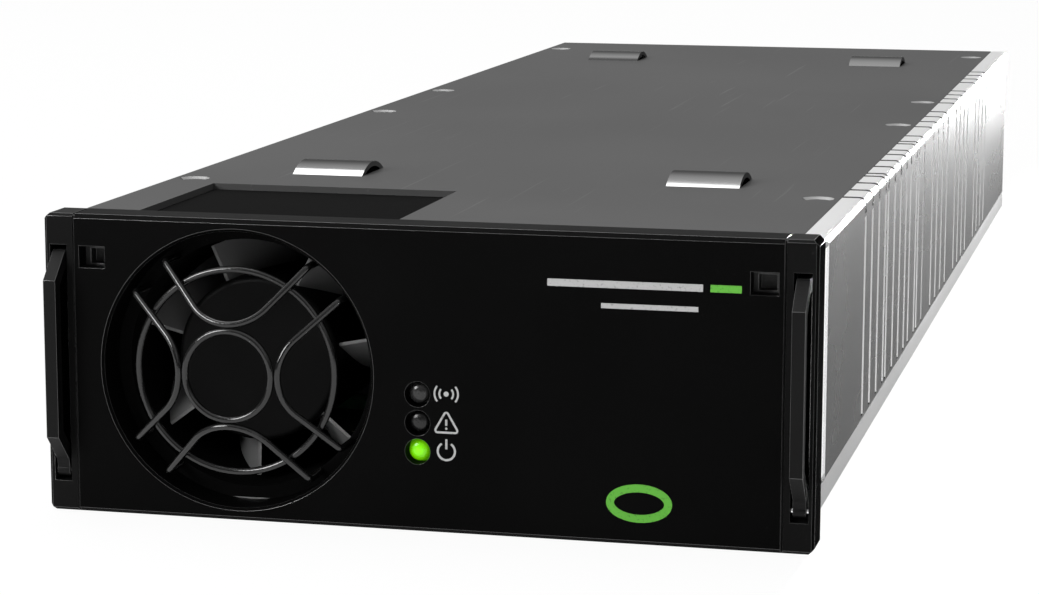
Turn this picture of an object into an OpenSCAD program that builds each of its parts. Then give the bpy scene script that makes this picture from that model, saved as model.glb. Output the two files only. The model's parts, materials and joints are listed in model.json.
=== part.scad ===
// Hot-swap rectifier module, 1U high, that plugs into a rack power shelf.
// The front face looks towards -Y, the plug-in end towards +Y.

/* [Front panel] */
// Width of the front panel
panel_w = 109; // [106:0.5:112]
// Height of the front panel
panel_h = 42.5; // [42:0.1:43.6]
// Depth of the panel's rim, front face to case
panel_d = 6; // [5.6:0.1:8]
// Thickness of the panel's front plate
panel_t = 2.6; // [2.4:0.1:3]
// Thickness of the panel's rim
rim_t = 1.6; // [1.4:0.1:2]
// Chamfer of the panel's outer corners
corner_chamfer = 0.8; // [0.4:0.1:1.2]
// Chamfer along the panel's front edges
front_chamfer = 0.6; // [0.3:0.1:0.8]
// Width of the ear outside each seam line
ear_w = 4.4; // [4.2:0.1:5]
// Depth by which the ears lie back from the middle of the panel
ear_step = 0.2; // [0.1:0.05:0.4]

/* [Handles] */
// Width of the slot in each ear
slot_w = 2.5; // [2.3:0.1:2.8]
// Skin of panel left outside each slot
slot_skin = 0.85; // [0.7:0.05:1]
// Height of the slot's lower end
slot_z0 = 4.3; // [4:0.1:4.5]
// Distance of the slot's upper end below the panel's top
slot_drop = 4.4; // [4:0.1:5]
// Gap between a handle and each side of its slot
slot_gap = 0.35; // [0.3:0.05:0.45]
// How far the handles stand out of the front face
handle_out = 3.4; // [2.8:0.1:4]
// Thickness of the handle strap
handle_t = 1.8; // [1.5:0.1:2]
// Diameter of the hinge pins
pin_d = 1; // [0.8:0.1:1.2]
// Radial clearance of the handles on their pins
pin_gap = 0.05; // [0.03:0.01:0.08]

/* [Release latches] */
// Distance from the panel's side edge to the middle of each square window
window_inset = 7.15; // [6.9:0.05:7.7]
// Distance from the panel's top to the middle of each window
window_drop = 6; // [5.9:0.1:6.5]
// Width of a window
window_w = 3.8; // [3.2:0.1:4]
// Height of a window
window_h = 3.1; // [2.8:0.1:3.4]
// Travel of a latch towards the middle of the panel
latch_travel = 1.6; // [1.2:0.1:1.8]

/* [Lamps] */
// Distance from the fan frame to the row of lamps
lamp_from_fan = 7.1; // [6.6:0.1:7.8]
// Height of the lowest lamp
lamp_z = 11.3; // [10.5:0.1:12]
// Spacing of the lamps
lamp_pitch = 4; // [3.9:0.1:4.4]
// Diameter of a lamp hole
lamp_hole_d = 3.6; // [3.4:0.1:3.8]
// Diameter of a light pipe
pipe_d = 3; // [2.6:0.1:3.1]
// Depth of a light pipe's tip behind the front face
pipe_recess = 0.6; // [0.3:0.1:1]

/* [Fan] */
// Distance from the panel's left edge to the fan frame
fan_from_left = 9.1; // [8.8:0.1:9.6]
// Depth of the fan frame's top below the cover's top face
fan_recess = 0.9; // [0.5:0.1:1.5]
// Wall of the fan frame beside its bore
fan_wall = 1; // [0.8:0.1:1.2]
// Length of the fan frame
fan_len = 28; // [25:0.5:30]
// How far the hole in the front panel stands beyond the fan frame's sides
fan_hole_margin = 0.5; // [0.4:0.1:0.8]
// Diameter of the impeller's hub
hub_d = 23.7; // [22:0.1:25]
// Number of blades
blade_count = 7; // [5:1:9]
// Thickness of a blade
blade_t = 1.1; // [0.9:0.1:1.3]
// Gap between blade tips and bore
tip_gap = 0.6; // [0.5:0.1:0.8]
// Angle of the blades to the fan's axis, in degrees
blade_pitch = 24; // [20:1:30]
// Angle at which the first blade rests, in degrees
blade_rest = 14; // [0:1:50]
// Diameter of the fan shaft
shaft_d = 3; // [2.5:0.1:3.2]
// Radial clearance of the shaft in its bearings
shaft_gap = 0.03; // [0.02:0.01:0.06]

/* [Wire guard] */
// Diameter of the guard's wire
wire_d = 1; // [0.9:0.05:1.1]
// How far the hub ring's centre stands out of the front face
guard_out = 3.4; // [3:0.1:3.8]
// Distance from the axis to the vertex of each bent rod
rod_vertex_r = 7.15; // [6.9:0.05:7.6]
// Distance of the rods' turned-back ends outside the fan's bore
rod_seat = 0.17; // [0.1:0.01:0.3]
// Angle between a rod's vertex and its ends, round the fan's axis
rod_spread = 34.9; // [34:0.1:36]
// Depth behind the front face where each rod turns back
rod_end_y = 0.6; // [0.3:0.1:1]
// Radius of the bend at each rod's vertex
rod_bend_r = 6.8; // [6:0.1:7.2]
// Mean radius of the large ring
ring_r = 14.25; // [13.6:0.05:14.8]
// Depth by which welded wires sink into each other
weld = 0.06; // [0.03:0.01:0.1]

/* [Case] */
// How far the panel stands beyond the case on each side
case_reveal = 0.5; // [0.3:0.1:0.8]
// Length from the front face to the rear end
case_len = 327; // [324:0.5:330]
// Depth of the cover's top face below the panel's top
cover_drop = 1.3; // [0.9:0.1:1.4]
// Height of the tray's underside
tray_z = 0.8; // [0.5:0.1:1]
// Thickness of the tray and of the side walls
sheet_t = 1.2; // [1:0.1:1.4]
// Height of the guide step along both lower edges
step_z = 4.2; // [4:0.1:4.6]
// Width of the guide step
step_w = 3.4; // [3.2:0.1:3.8]
// Height of the band that the tray's lip makes
band_h = 3.4; // [3:0.1:4]
// Thickness of the cover
cover_t = 1; // [0.8:0.1:1.2]
// Width of the right wall's flange beside the cover
flange_w = 3.6; // [3.2:0.1:4]
// Width of the ledges under the cover's edges
ledge_w = 6; // [5.5:0.5:8]
// Joint line between cover and flange
joint_gap = 0.1; // [0.05:0.05:0.2]
// Outer radius of the right wall's bend
bend_r = 1; // [0.6:0.1:1.2]
// Depth by which the right wall is set in at its front end
set_in = 0.5; // [0.3:0.1:0.6]
// Length of the set-in part behind the panel
set_in_len = 3; // [2:0.5:4]
// Length of the slope that follows it
slope_len = 4.5; // [3:0.5:6]

/* [Cover forms] */
// Width of each raised arch
arch_w = 11.4; // [10:0.2:13]
// Length of each raised arch
arch_len = 12; // [10:0.5:14]
// Height of each raised arch
arch_h = 1.7; // [1.2:0.1:2]
// Sheet thickness left in an arch
arch_t = 0.8; // [0.6:0.1:0.9]
// Distance of the arches from the cover's side edges
arch_inset = 22.2; // [20:0.2:24]
// Centre of the front pair of arches
arch_y0 = 66.2; // [62:0.2:70]
// Distance of the rear pair of arches from the rear end
arch_rear = 42; // [36:0.5:46]
// Diameter of the dimples along the cover's edges
dimple_d = 4.8; // [4:0.1:5]
// Depth of the dimples
dimple_h = 0.35; // [0.2:0.05:0.5]
// Distance of the dimples from the cover's edges
dimple_inset = 3.2; // [2.8:0.1:3.6]
// Clearance of the cover round the fan
cover_gap = 0.4; // [0.3:0.1:0.6]

/* [Wall slots] */
// Width of each slot
wall_slot_w = 1.5; // [1.2:0.1:1.8]
// Depth of each slot down the wall
wall_slot_h = 2.3; // [2:0.1:2.8]
// Width of the flute below each slot
flute_w = 2; // [1.6:0.1:2.4]
// Depth of a flute
flute_h = 0.25; // [0.15:0.05:0.35]

/* [Boards] */
// Thickness of the circuit boards
board_t = 1.6; // [1.2:0.1:2]
// Height of the stand-offs under the main board
standoff_h = 4; // [3.8:0.1:4.6]
// Clearance of the main board beside the walls
board_gap = 0.4; // [0.3:0.1:0.8]
// Distance from the air duct to the main board
board_front = 4; // [3:0.5:5]
// Distance from the main board to the case's rear end
board_rear = 9; // [7:0.5:11]
// Distance of the stand-offs from the case's sides
standoff_inset = 11; // [10.6:0.1:11.4]

/* [Components] */
// Free height above the tall components
headroom = 4.4; // [3.6:0.1:6]
// Diameter of the bulk capacitors
can_d = 25; // [23:0.5:25.5]
// Depth of the heat sink
sink_d = 11; // [9:0.5:11]
// Radius of the wire bundle on the filter chokes
choke_wire = 4.5; // [3.5:0.1:5]
// Distance of the rear filter choke from the case's rear end
choke_from_end = 40; // [38:0.5:41]
// Distance between the two filter chokes
choke_pitch = 32; // [30:0.5:34]
// Length of the film capacitors
film_l = 17; // [15:0.5:17.5]
// Mean radius of the boost inductor's core
boost_ring = 12; // [10:0.5:12]
// Radius of the winding on the boost inductor
boost_wire = 6; // [5:0.1:6]
// Distance of the boost inductor from the case's rear end
boost_from_end = 119; // [118:0.5:124]
// Mean radius of the resonant inductor's core
tank_ring = 8; // [7:0.5:8]
// Radius of the winding on the resonant inductor
tank_wire = 5; // [4:0.1:5]
// Width of the transformer cores
core_w = 36; // [33:0.5:36]
// Length of the transformer cores
core_l = 16; // [14:0.5:17]
// Width of the cores' middle leg
leg_w = 12; // [10:0.5:12.5]
// Depth of the windings round the middle leg
window_gap = 9.5; // [8:0.1:9.5]
// Diameter of the output capacitors
out_can_d = 9; // [8:0.1:9.1]
// Distance of the first row of output capacitors from the case's rear end
out_from_end = 79.5; // [76:0.5:82]

/* [Rear connector] */
// Width of the rear connector
plug_w = 66; // [62:1:70]
// Height of the rear connector
plug_h = 18; // [16:0.5:20]
// Length of the rear connector
plug_len = 17; // [15:0.5:20]
// Wall of the connector's housing
plug_wall = 1.6; // [1.4:0.1:1.8]

/* [Hidden] */
$fn = 64;
eps = 0.01;

// the part stands with its origin under the middle of its outer box
front_reach = max(handle_out, guard_out + wire_d / 2);
y_mid = (case_len - front_reach) / 2;

half_panel = panel_w / 2;
half_case = half_panel - case_reveal;
case_top = panel_h - cover_drop;
tray_top = tray_z + sheet_t;
fan_seat = 0.3;
fan_size = case_top - fan_recess - tray_top - fan_seat;
fan_bore_d = fan_size - 2 * fan_wall;
fan_hole_d = fan_size + 2 * fan_hole_margin;
fan_x = fan_from_left + fan_size / 2 - half_panel;
fan_z = tray_top + fan_seat + fan_size / 2;
bulkhead_t = 1.2;
bulkhead_y = panel_d;
lamp_x = fan_x + fan_size / 2 + lamp_from_fan;
fan_y0 = bulkhead_y + bulkhead_t;
fan_y1 = fan_y0 + fan_len;

// heights in the case's section
cover_z = case_top - cover_t;
band_top = step_z + band_h;
shelf_top = step_z + sheet_t;
ledge_z = cover_z - sheet_t;
cover_right = half_case - flange_w;
cover_mid = (cover_right - half_case) / 2;

// handles
slot_x = half_panel - slot_skin - slot_w / 2;
handle_w = slot_w - 2 * slot_gap;
pin_y = panel_t / 2;
pin_z = slot_z0 + 1.5;
slot_z1 = panel_h - slot_drop;
pin_len = slot_w + 1.4;
eye_r = 1;
hook_y = panel_d - 0.6;
hook_top = slot_z1 - 0.8;
hook_h = 2;

// latches
window_x = half_panel - window_inset;
window_z = panel_h - window_drop;
latch_play = 0.3;
latch_y0 = panel_t + latch_play;
latch_y1 = panel_d - latch_play;
latch_h = window_h + 0.7;
latch_tip = slot_x - handle_w / 2 - latch_play;
latch_nose = 1.4;
nose_h = 1.8;
latch_root = window_x - window_w / 2 - 0.3;
rail_h = 1;

// lamps
indicator_y = bulkhead_y + 6;
led_h = 1.4;
pipe_end_y = indicator_y - led_h - 0.1;
collar_d = lamp_pitch - 0.2;
function lamp_height(i) = lamp_z + i * lamp_pitch;

// fan
hub_y0 = fan_y0 + 2.3;
hub_y1 = fan_y1 - 5;
base_y = fan_y1 - 2;
hub_wall = 1.2;
magnet_t = 1.4;
bearing_r = 3;
tube_r = 4.2;
coil_r = hub_d / 2 - hub_wall - magnet_t - 0.6;
tip_r = fan_bore_d / 2 - tip_gap;
strut_count = 3;
fan_hole_pitch = fan_size - 7;
fan_hole_r = 1.4;
duct_y1 = fan_y1 + 10.8;
duct_wall = 1;

// guard rods: each lies in a plane that leans back by rod_lean
rod_end_x = (fan_bore_d / 2 + rod_seat) * cos(rod_spread);
rod_end_z = (fan_bore_d / 2 + rod_seat) * sin(rod_spread);
rod_lean = atan2(rod_end_y + guard_out, rod_end_x - rod_vertex_r);
rod_reach = norm([rod_end_y + guard_out, rod_end_x - rod_vertex_r]);
// tangent from the rod's end to the circle of its bend
rod_far = norm([rod_reach - rod_bend_r, rod_end_z]);
rod_angle = 180 - acos(rod_bend_r / rod_far) - atan2(rod_end_z, rod_reach - rod_bend_r);
rod_leg = sqrt(pow(rod_far, 2) - pow(rod_bend_r, 2));
// start and direction of a straight leg, seen with the fan's axis as Y
leg_u = rod_bend_r * (1 - cos(rod_angle));
leg_start = [
    rod_vertex_r + leg_u * cos(rod_lean),
    leg_u * sin(rod_lean) - guard_out,
    rod_bend_r * sin(rod_angle)
];
leg_dir = [sin(rod_angle) * cos(rod_lean), sin(rod_angle) * sin(rod_lean), cos(rod_angle)];
// where a leg crosses over the large ring
cross_a = pow(leg_dir.x, 2) + pow(leg_dir.z, 2);
cross_b = 2 * (leg_start.x * leg_dir.x + leg_start.z * leg_dir.z);
cross_c = pow(leg_start.x, 2) + pow(leg_start.z, 2) - pow(ring_r, 2);
cross_s = (sqrt(pow(cross_b, 2) - 4 * cross_a * cross_c) - cross_b) / (2 * cross_a);
cross_p = leg_start + cross_s * leg_dir;
cross_n = cross([-cross_p.z, 0, cross_p.x] / ring_r, leg_dir);
ring_y = cross_p.y + (wire_d - weld) * norm(cross_n) / abs(cross_n.y);
hub_ring_r = rod_vertex_r - wire_d + weld;
bulkhead_hole_r = fan_bore_d / 2 + rod_seat - wire_d / 2;
knuckle_d = wire_d * 1.12;

// right wall: rows of slots as [first, pitch, count]
slot_rows = [
    [54.2, 8.7, 4], [83.9, 8.7, 1], [93.2, 8.6, 3], [117, 8.6, 1], [126.6, 3.8, 2], [139.3, 8.6, 1],
    [154.8, 9.2, 4], [199.8, 8.5, 4], [244.5, 8.6, 4]
];
dimple_y = [51.5, 157, 200, case_len - 18.5];
arch_y1 = case_len - arch_rear;
arch_x = (cover_right + half_case) / 2 - arch_inset;

// boards
board_z = tray_top + standoff_h;
board_top = board_z + board_t;
board_half = half_case - 2 * sheet_t - board_gap;
sheet_film = 0.4;
standoff_r = 2.5;
screw_r = 1.2;
board_y0 = duct_y1 + board_front;
board_y1 = case_len - board_rear;
standoff_x = half_case - standoff_inset;
head_r = 2.2;
panel_bosses = [
    [fan_x - fan_size / 2 - 2.9, 8], [lamp_x + 14.3, 7.5], [half_panel - 8.5, 7.5], [lamp_x + 14.3, panel_h - 7.5]
];
spacer_points = [
    [lamp_x + 7.3, 7.5], [lamp_x + 7.3, panel_h - 8.5], [half_panel - 11.5, panel_h - 8.5], [half_panel - 14.5, 12]
];

// components: heights from the room above the board, places from walls and ends
build_h = ledge_z - board_top - headroom;
wall_in = half_case - sheet_t;
can_x = [sink_d + 2.3 + can_d / 2 - wall_in, sink_d + 4.3 + 3 * can_d / 2 - wall_in];
can_y = [board_y0 + 3.5 + can_d / 2, board_y0 + 5.5 + 3 * can_d / 2];
tank_y = board_y0 + 6.5 + 2 * can_d + tank_ring + tank_wire;
coil_l = core_l + 2 * window_gap;
core_x = half_case - 29;
core_y = [tank_y + tank_ring + tank_wire + 2 + coil_l / 2, tank_y + tank_ring + tank_wire + 7 + 3 * coil_l / 2];
boost_x = sink_d + 0.8 + boost_ring + boost_wire - wall_in;
boost_y = case_len - boost_from_end;
out_y = [case_len - out_from_end, case_len - out_from_end + out_can_d + 2];
choke_x = 16 - half_case;
choke_y = [case_len - choke_from_end - choke_pitch, case_len - choke_from_end];
standoff_y = [
    board_y0 + 8, board_y0 + 65, (core_y[0] + core_y[1]) / 2,
    (core_y[1] + coil_l / 2 + out_y[0] - out_can_d / 2) / 2, board_y1 - 12
];

// rear connector cavities as [x, width, height]
plug_y0 = case_len - plug_len;
plug_half = plug_w / 2;
cell_depth = plug_len - 5;
cell_w = 8.5;
bus_w = [11, 9];
bus_x1 = plug_half - plug_wall - bus_w[1] / 2;
bus_x0 = bus_x1 - plug_wall - (bus_w[0] + bus_w[1]) / 2;
power_cells = [
    for (i = [0 : 2]) [(i + 0.5) * cell_w + (i + 1) * plug_wall - plug_half, cell_w, plug_h - 6],
    [bus_x0, bus_w[0], plug_h - 4],
    [bus_x1, bus_w[1], plug_h - 4]
];
signal_x0 = power_cells[2].x + cell_w / 2 + plug_wall;
signal_x1 = bus_x0 - bus_w[0] / 2 - plug_wall;
signal_cell = [(signal_x0 + signal_x1) / 2, signal_x1 - signal_x0, plug_h - 9];
contact_t = 1;

module at_module() {
    translate([0, -y_mid, 0]) children();
}

// profile in the X-Z plane, run along Y from y0 to y1
module along(y0, y1) {
    translate([0, y1, 0]) rotate([90, 0, 0]) linear_extrude(y1 - y0) children();
}

// box from one corner to the other
module block(p, q) {
    translate(p) cube(q - p);
}

// shape drawn about Z, set on the fan's axis
module on_fan_axis() {
    translate([fan_x, 0, fan_z]) rotate([-90, 0, 0]) children();
}

// cylinder along Y
module rod_y(x, z, r, y0, y1) {
    translate([x, y0, z]) rotate([-90, 0, 0]) cylinder(r = r, h = y1 - y0);
}

module at_slots() {
    for (row = slot_rows, i = [0 : row[2] - 1]) translate([0, row[0] + i * row[1], 0]) children();
}

function arc(cx, cz, r, a0, a1, n) =
    [for (i = [0 : n]) let (a = a0 + (a1 - a0) * i / n) [cx + r * cos(a), cz + r * sin(a)]];

function flip(points) = [for (i = [len(points) - 1 : -1 : 0]) [-points[i].x, points[i].y]];

// right half of the space inside the case, bottom to top
function inside_half(gap, ledge_in) = [
    [half_case - step_w - sheet_t - gap, tray_top],
    [half_case - step_w - sheet_t - gap, shelf_top + gap],
    [half_case - 2 * sheet_t - gap, shelf_top + gap],
    [half_case - 2 * sheet_t - gap, band_top + sheet_t + gap],
    [half_case - sheet_t - gap, band_top + sheet_t + gap],
    [half_case - sheet_t - gap, ledge_z],
    [ledge_in - gap, ledge_z],
    [ledge_in - gap, cover_z]
];

module inside_outline(gap) {
    polygon(concat(inside_half(gap, cover_right - ledge_w), flip(inside_half(gap, half_case - ledge_w))));
}

// ---------- front panel ----------

module panel_outline(inset) {
    w = half_panel - inset;
    h = panel_h - inset;
    c = corner_chamfer;
    polygon([
        [c - w, inset], [w - c, inset], [w, inset + c], [w, h - c],
        [w - c, h], [c - w, h], [-w, h - c], [-w, inset + c]
    ]);
}

module panel_edge_chamfers() {
    side = front_chamfer * sqrt(2);
    for (z = [0, panel_h]) translate([0, 0, z]) rotate([45, 0, 0]) cube([panel_w + 2, side, side], center = true);
    for (x = [-half_panel, half_panel]) {
        translate([x, 0, panel_h / 2]) rotate([0, 0, 45]) cube([side, side, panel_h + 2], center = true);
    }
}

module panel_ears() {
    seam = half_panel - ear_w;
    for (s = [-1, 1]) {
        block([min(s * seam, s * (half_panel + 1)), -1, -1],
            [max(s * seam, s * (half_panel + 1)), ear_step, panel_h + 1]);
        // seam line, over the front and the top
        translate([s * seam, ear_step, panel_h / 2]) cube([0.3, 0.5, panel_h + 2], center = true);
        translate([s * seam, panel_d / 2, panel_h]) cube([0.3, panel_d + 1, 0.4], center = true);
    }
}

module panel_slots() {
    for (s = [-1, 1]) {
        block([s * slot_x - slot_w / 2, -1, slot_z0], [s * slot_x + slot_w / 2, panel_d + 1, slot_z1]);
        translate([s * slot_x, pin_y, pin_z]) rotate([0, 90, 0])
            cylinder(d = pin_d, h = pin_len, center = true);
    }
}

module panel_windows() {
    for (s = [-1, 1]) {
        translate([s * window_x, panel_t / 2, window_z]) cube([window_w, panel_t + 1, window_h], center = true);
    }
}

module panel_latch_rails() {
    x0 = latch_root - latch_travel - 0.3;
    x1 = slot_x - slot_w / 2;
    for (s = [-1, 1], d = [-1, 1]) {
        z = window_z + d * (latch_h / 2 + latch_play + rail_h / 2);
        translate([s * (x0 + x1) / 2, (panel_t + panel_d) / 2, z])
            cube([x1 - x0, panel_d - panel_t, rail_h], center = true);
    }
}

// openings through which the latches reach the handles
module panel_nose_ports() {
    x0 = latch_tip - latch_nose;
    for (s = [-1, 1]) translate([s * (x0 + slot_x) / 2, (latch_y0 + panel_d + 1) / 2, window_z])
        cube([slot_x - x0, panel_d + 1 - latch_y0, nose_h + 2 * latch_play], center = true);
}

module front_panel() {
    color([0.08, 0.08, 0.085]) at_module() difference() {
        union() {
            difference() {
                along(0, panel_d) panel_outline(0);
                along(panel_t, panel_d + 1) panel_outline(rim_t);
            }
            rod_y(fan_x, fan_z, fan_hole_d / 2 + 1, panel_t - eps, panel_d);
            panel_latch_rails();
            for (p = panel_bosses) rod_y(p.x, p.y, 2, panel_t - eps, panel_d);
            // skin that closes each handle slot towards the side
            for (m = [0, 1]) mirror([m, 0, 0]) block([slot_x - slot_w / 2 - 0.9, panel_t - eps, rim_t - eps],
                [slot_x + slot_w / 2 + 0.1, panel_d, panel_h - rim_t + eps]);
        }
        rod_y(fan_x, fan_z, fan_hole_d / 2, -1, panel_d + 1);
        on_fan_axis() translate([0, 0, -eps]) cylinder(d1 = fan_hole_d + 0.8, d2 = fan_hole_d, h = 0.4 + eps);
        panel_edge_chamfers();
        panel_ears();
        panel_slots();
        panel_windows();
        panel_nose_ports();
        for (i = [0 : 2]) rod_y(lamp_x, lamp_height(i), lamp_hole_d / 2, -1, panel_t + 1);
        for (p = panel_bosses) rod_y(p.x, p.y, 1, panel_t + 0.6, panel_d + 1);
    }
}

module hinge_pin(s) {
    color("silver") at_module() translate([s * slot_x, pin_y, pin_z]) rotate([0, 90, 0])
        cylinder(d = pin_d, h = pin_len, center = true);
}

module left_hinge_pin() { hinge_pin(-1); }

module right_hinge_pin() { hinge_pin(1); }

// bow handle: eye on the pin, straight strap, hook behind the plate
module handle(s) {
    bend = handle_out + 0.4;
    low = pin_z + 1.6;
    color([0.1, 0.1, 0.105]) at_module() translate([s * slot_x - handle_w / 2, 0, 0])
        rotate([90, 0, 90]) difference() {
        union() {
            translate([pin_y, pin_z, 0]) cylinder(r = eye_r, h = handle_w);
            linear_extrude(handle_w) polygon([
                [pin_y - 0.8, pin_z], [0.2, low], [-handle_out, low + bend], [-handle_out, hook_top - bend],
                [0.5, hook_top], [hook_y, hook_top], [hook_y, hook_top - hook_h], [1.2, hook_top - hook_h],
                [handle_t - handle_out, hook_top - bend - 0.8], [handle_t - handle_out, low + bend + 0.7],
                [pin_y + 0.7, low + 0.6], [pin_y + 0.8, pin_z]
            ]);
        }
        translate([pin_y, pin_z, -1]) cylinder(r = pin_d / 2 + pin_gap, h = handle_w + 2);
    }
}

module left_handle() { handle(-1); }

module right_handle() { handle(1); }

// sliding latch with a pocket for the screwdriver's tip and a nose towards the handle
module latch(s) {
    depth = latch_y1 - latch_y0;
    color([0.3, 0.3, 0.31]) at_module() mirror([s < 0 ? 1 : 0, 0, 0]) difference() {
        union() {
            block([latch_root, latch_y0, window_z - latch_h / 2],
                [latch_tip - latch_nose, latch_y1, window_z + latch_h / 2]);
            block([latch_tip - latch_nose - eps, latch_y0 + 0.6, window_z - nose_h / 2],
                [latch_tip, latch_y1 - 0.4, window_z + nose_h / 2]);
        }
        block([window_x - 1.2, latch_y0 - 1, window_z - 1.3],
            [window_x + 1.2, latch_y0 + depth * 0.6, window_z + 0.8]);
    }
}

module left_latch() { latch(-1); }

module right_latch() { latch(1); }

module light_pipe(i) {
    r = pipe_d / 2;
    tip = pipe_recess;
    dome = 0.7;
    profile = concat([[0, tip]], [for (a = [15 : 15 : 90]) [r * sin(a), tip + dome * (1 - cos(a))]],
        [[r, panel_t], [collar_d / 2, panel_t], [collar_d / 2, panel_t + 0.8],
            [r, panel_t + 0.8], [r, pipe_end_y], [0, pipe_end_y]]);
    at_module() translate([lamp_x, 0, lamp_height(i)]) rotate([-90, 0, 0]) rotate_extrude() polygon(profile);
}

module light_pipe_low() { color([0.45, 0.85, 0.1]) light_pipe(0); }

module light_pipe_mid() { color([0.2, 0.2, 0.2]) light_pipe(1); }

module light_pipe_top() { color([0.35, 0.35, 0.35]) light_pipe(2); }

// ---------- wire guard ----------

module ring_y(r, y) {
    on_fan_axis() translate([0, 0, y]) rotate_extrude() translate([r, 0]) circle(d = wire_d);
}

module bent_rod() {
    translate([rod_vertex_r, -guard_out, 0]) rotate([0, 0, rod_lean]) rotate([90, 0, 0]) {
        translate([rod_bend_r, 0, 0]) rotate([0, 0, 180 - rod_angle]) rotate_extrude(angle = 2 * rod_angle)
            translate([rod_bend_r, 0]) circle(d = wire_d);
        for (s = [-1, 1]) translate([leg_u, s * rod_bend_r * sin(rod_angle), 0])
            rotate([0, 0, s * (90 - rod_angle)]) rotate([0, 90, 0]) {
                cylinder(d = knuckle_d, h = 0.4, center = true);
                cylinder(d = wire_d, h = rod_leg);
            }
    }
    // turned-back ends that stand on the bulkhead
    for (s = [-1, 1]) translate([rod_end_x, rod_end_y, s * rod_end_z]) {
        sphere(d = knuckle_d);
        rotate([-90, 0, 0]) cylinder(d = wire_d, h = bulkhead_y - rod_end_y);
    }
}

module fan_guard() {
    color([0.55, 0.55, 0.57]) at_module() {
        ring_y(hub_ring_r, -guard_out);
        ring_y(ring_r, ring_y);
        for (a = [0 : 90 : 270]) translate([fan_x, 0, fan_z]) rotate([0, a, 0]) bent_rod();
    }
}

// ---------- fan ----------

module at_fan_corners() {
    for (x = [-1, 1], z = [-1, 1])
        translate([fan_x + x * fan_hole_pitch / 2, 0, fan_z + z * fan_hole_pitch / 2]) children();
}

module fan_frame() {
    color([0.09, 0.09, 0.09]) at_module() difference() {
        union() {
            difference() {
                translate([fan_x - fan_size / 2, fan_y0, fan_z - fan_size / 2]) cube([fan_size, fan_len, fan_size]);
                rod_y(fan_x, fan_z, fan_bore_d / 2, fan_y0 - 1, fan_y1 + 1);
            }
            rod_y(fan_x, fan_z, hub_d / 2, base_y, fan_y1);
            rod_y(fan_x, fan_z, tube_r, hub_y0 + 5, base_y + eps);
            on_fan_axis() for (i = [0 : strut_count - 1]) rotate([0, 0, 30 + i * 360 / strut_count])
                block([hub_d / 2 - 1, -1, base_y + 0.3], [fan_bore_d / 2 + 0.4, 1, fan_y1 - 0.3]);
        }
        rod_y(fan_x, fan_z, bearing_r, hub_y0, base_y);
        at_fan_corners() rod_y(0, 0, fan_hole_r + 0.15, fan_y0 - 1, fan_y1 + 1);
    }
}

module fan_stator() {
    y0 = hub_y0 + hub_wall + 4.5;
    y1 = hub_y1 - 2;
    color([0.72, 0.42, 0.2]) at_module() on_fan_axis() translate([0, 0, y0]) difference() {
        cylinder(r = coil_r, h = y1 - y0);
        translate([0, 0, -1]) cylinder(r = tube_r, h = y1 - y0 + 2);
        for (a = [45 : 90 : 315]) rotate([0, 0, a]) translate([tube_r + 1.2, -0.8, -1]) cube([coil_r, 1.6, y1 - y0 + 2]);
    }
}

module fan_bearings() {
    color([0.75, 0.75, 0.77]) at_module() for (y = [hub_y0 + 5, base_y - 3]) on_fan_axis() translate([0, 0, y])
        difference() {
            cylinder(r = bearing_r, h = 3);
            translate([0, 0, -1]) cylinder(r = shaft_d / 2 + shaft_gap, h = 5);
        }
}

// flat blade at a pitch, trimmed between hub and tip
module blade(y0, y1) {
    long = y1 - y0;
    intersection() {
        translate([0, 0, y0]) difference() {
            cylinder(r = tip_r, h = long);
            translate([0, 0, -1]) cylinder(r = hub_d / 2 - 0.3, h = long + 2);
        }
        translate([0, 0, (y0 + y1) / 2]) rotate([blade_pitch, 0, 0])
            translate([0, -blade_t / 2, -long]) cube([tip_r + 1, blade_t, 2 * long]);
    }
}

module fan_impeller() {
    r = hub_d / 2;
    front = hub_y0 + hub_wall;
    shaft_r = shaft_d / 2;
    color([0.16, 0.16, 0.165]) at_module() on_fan_axis() {
        rotate_extrude() polygon([
            [0, hub_y0], [r - 0.8, hub_y0], [r, hub_y0 + 0.8], [r, hub_y1], [r - hub_wall, hub_y1],
            [r - hub_wall, front], [shaft_r + 1.2, front], [shaft_r + 1.2, front + 2.2], [shaft_r, front + 2.2],
            [shaft_r, front], [0, front]
        ]);
        for (i = [0 : blade_count - 1]) rotate([0, 0, blade_rest + i * 360 / blade_count]) blade(hub_y0 + 1.5, hub_y1 - 1);
    }
}

module fan_magnet() {
    r = hub_d / 2 - hub_wall;
    y0 = hub_y0 + hub_wall + 1;
    color([0.2, 0.2, 0.2]) at_module() on_fan_axis() translate([0, 0, y0]) difference() {
        cylinder(r = r, h = hub_y1 - 1 - y0);
        translate([0, 0, -1]) cylinder(r = r - magnet_t, h = fan_len);
    }
}

module fan_shaft() {
    color("silver") at_module() rod_y(fan_x, fan_z, shaft_d / 2, hub_y0 + hub_wall, base_y - 0.4);
}

module air_duct() {
    outer = fan_size;
    inner = fan_size - 2 * duct_wall;
    color([0.09, 0.09, 0.09]) at_module() translate([fan_x, 0, fan_z]) along(fan_y1, duct_y1) difference() {
        square(outer, center = true);
        square(inner, center = true);
    }
}

module fan_screws() {
    color("silver") at_module() at_fan_corners() {
        rod_y(0, 0, fan_hole_r, bulkhead_y, fan_y1 + eps);
        rod_y(0, 0, 2.1, fan_y1, fan_y1 + 1.4);
    }
}

// ---------- sheet-metal case ----------

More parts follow.
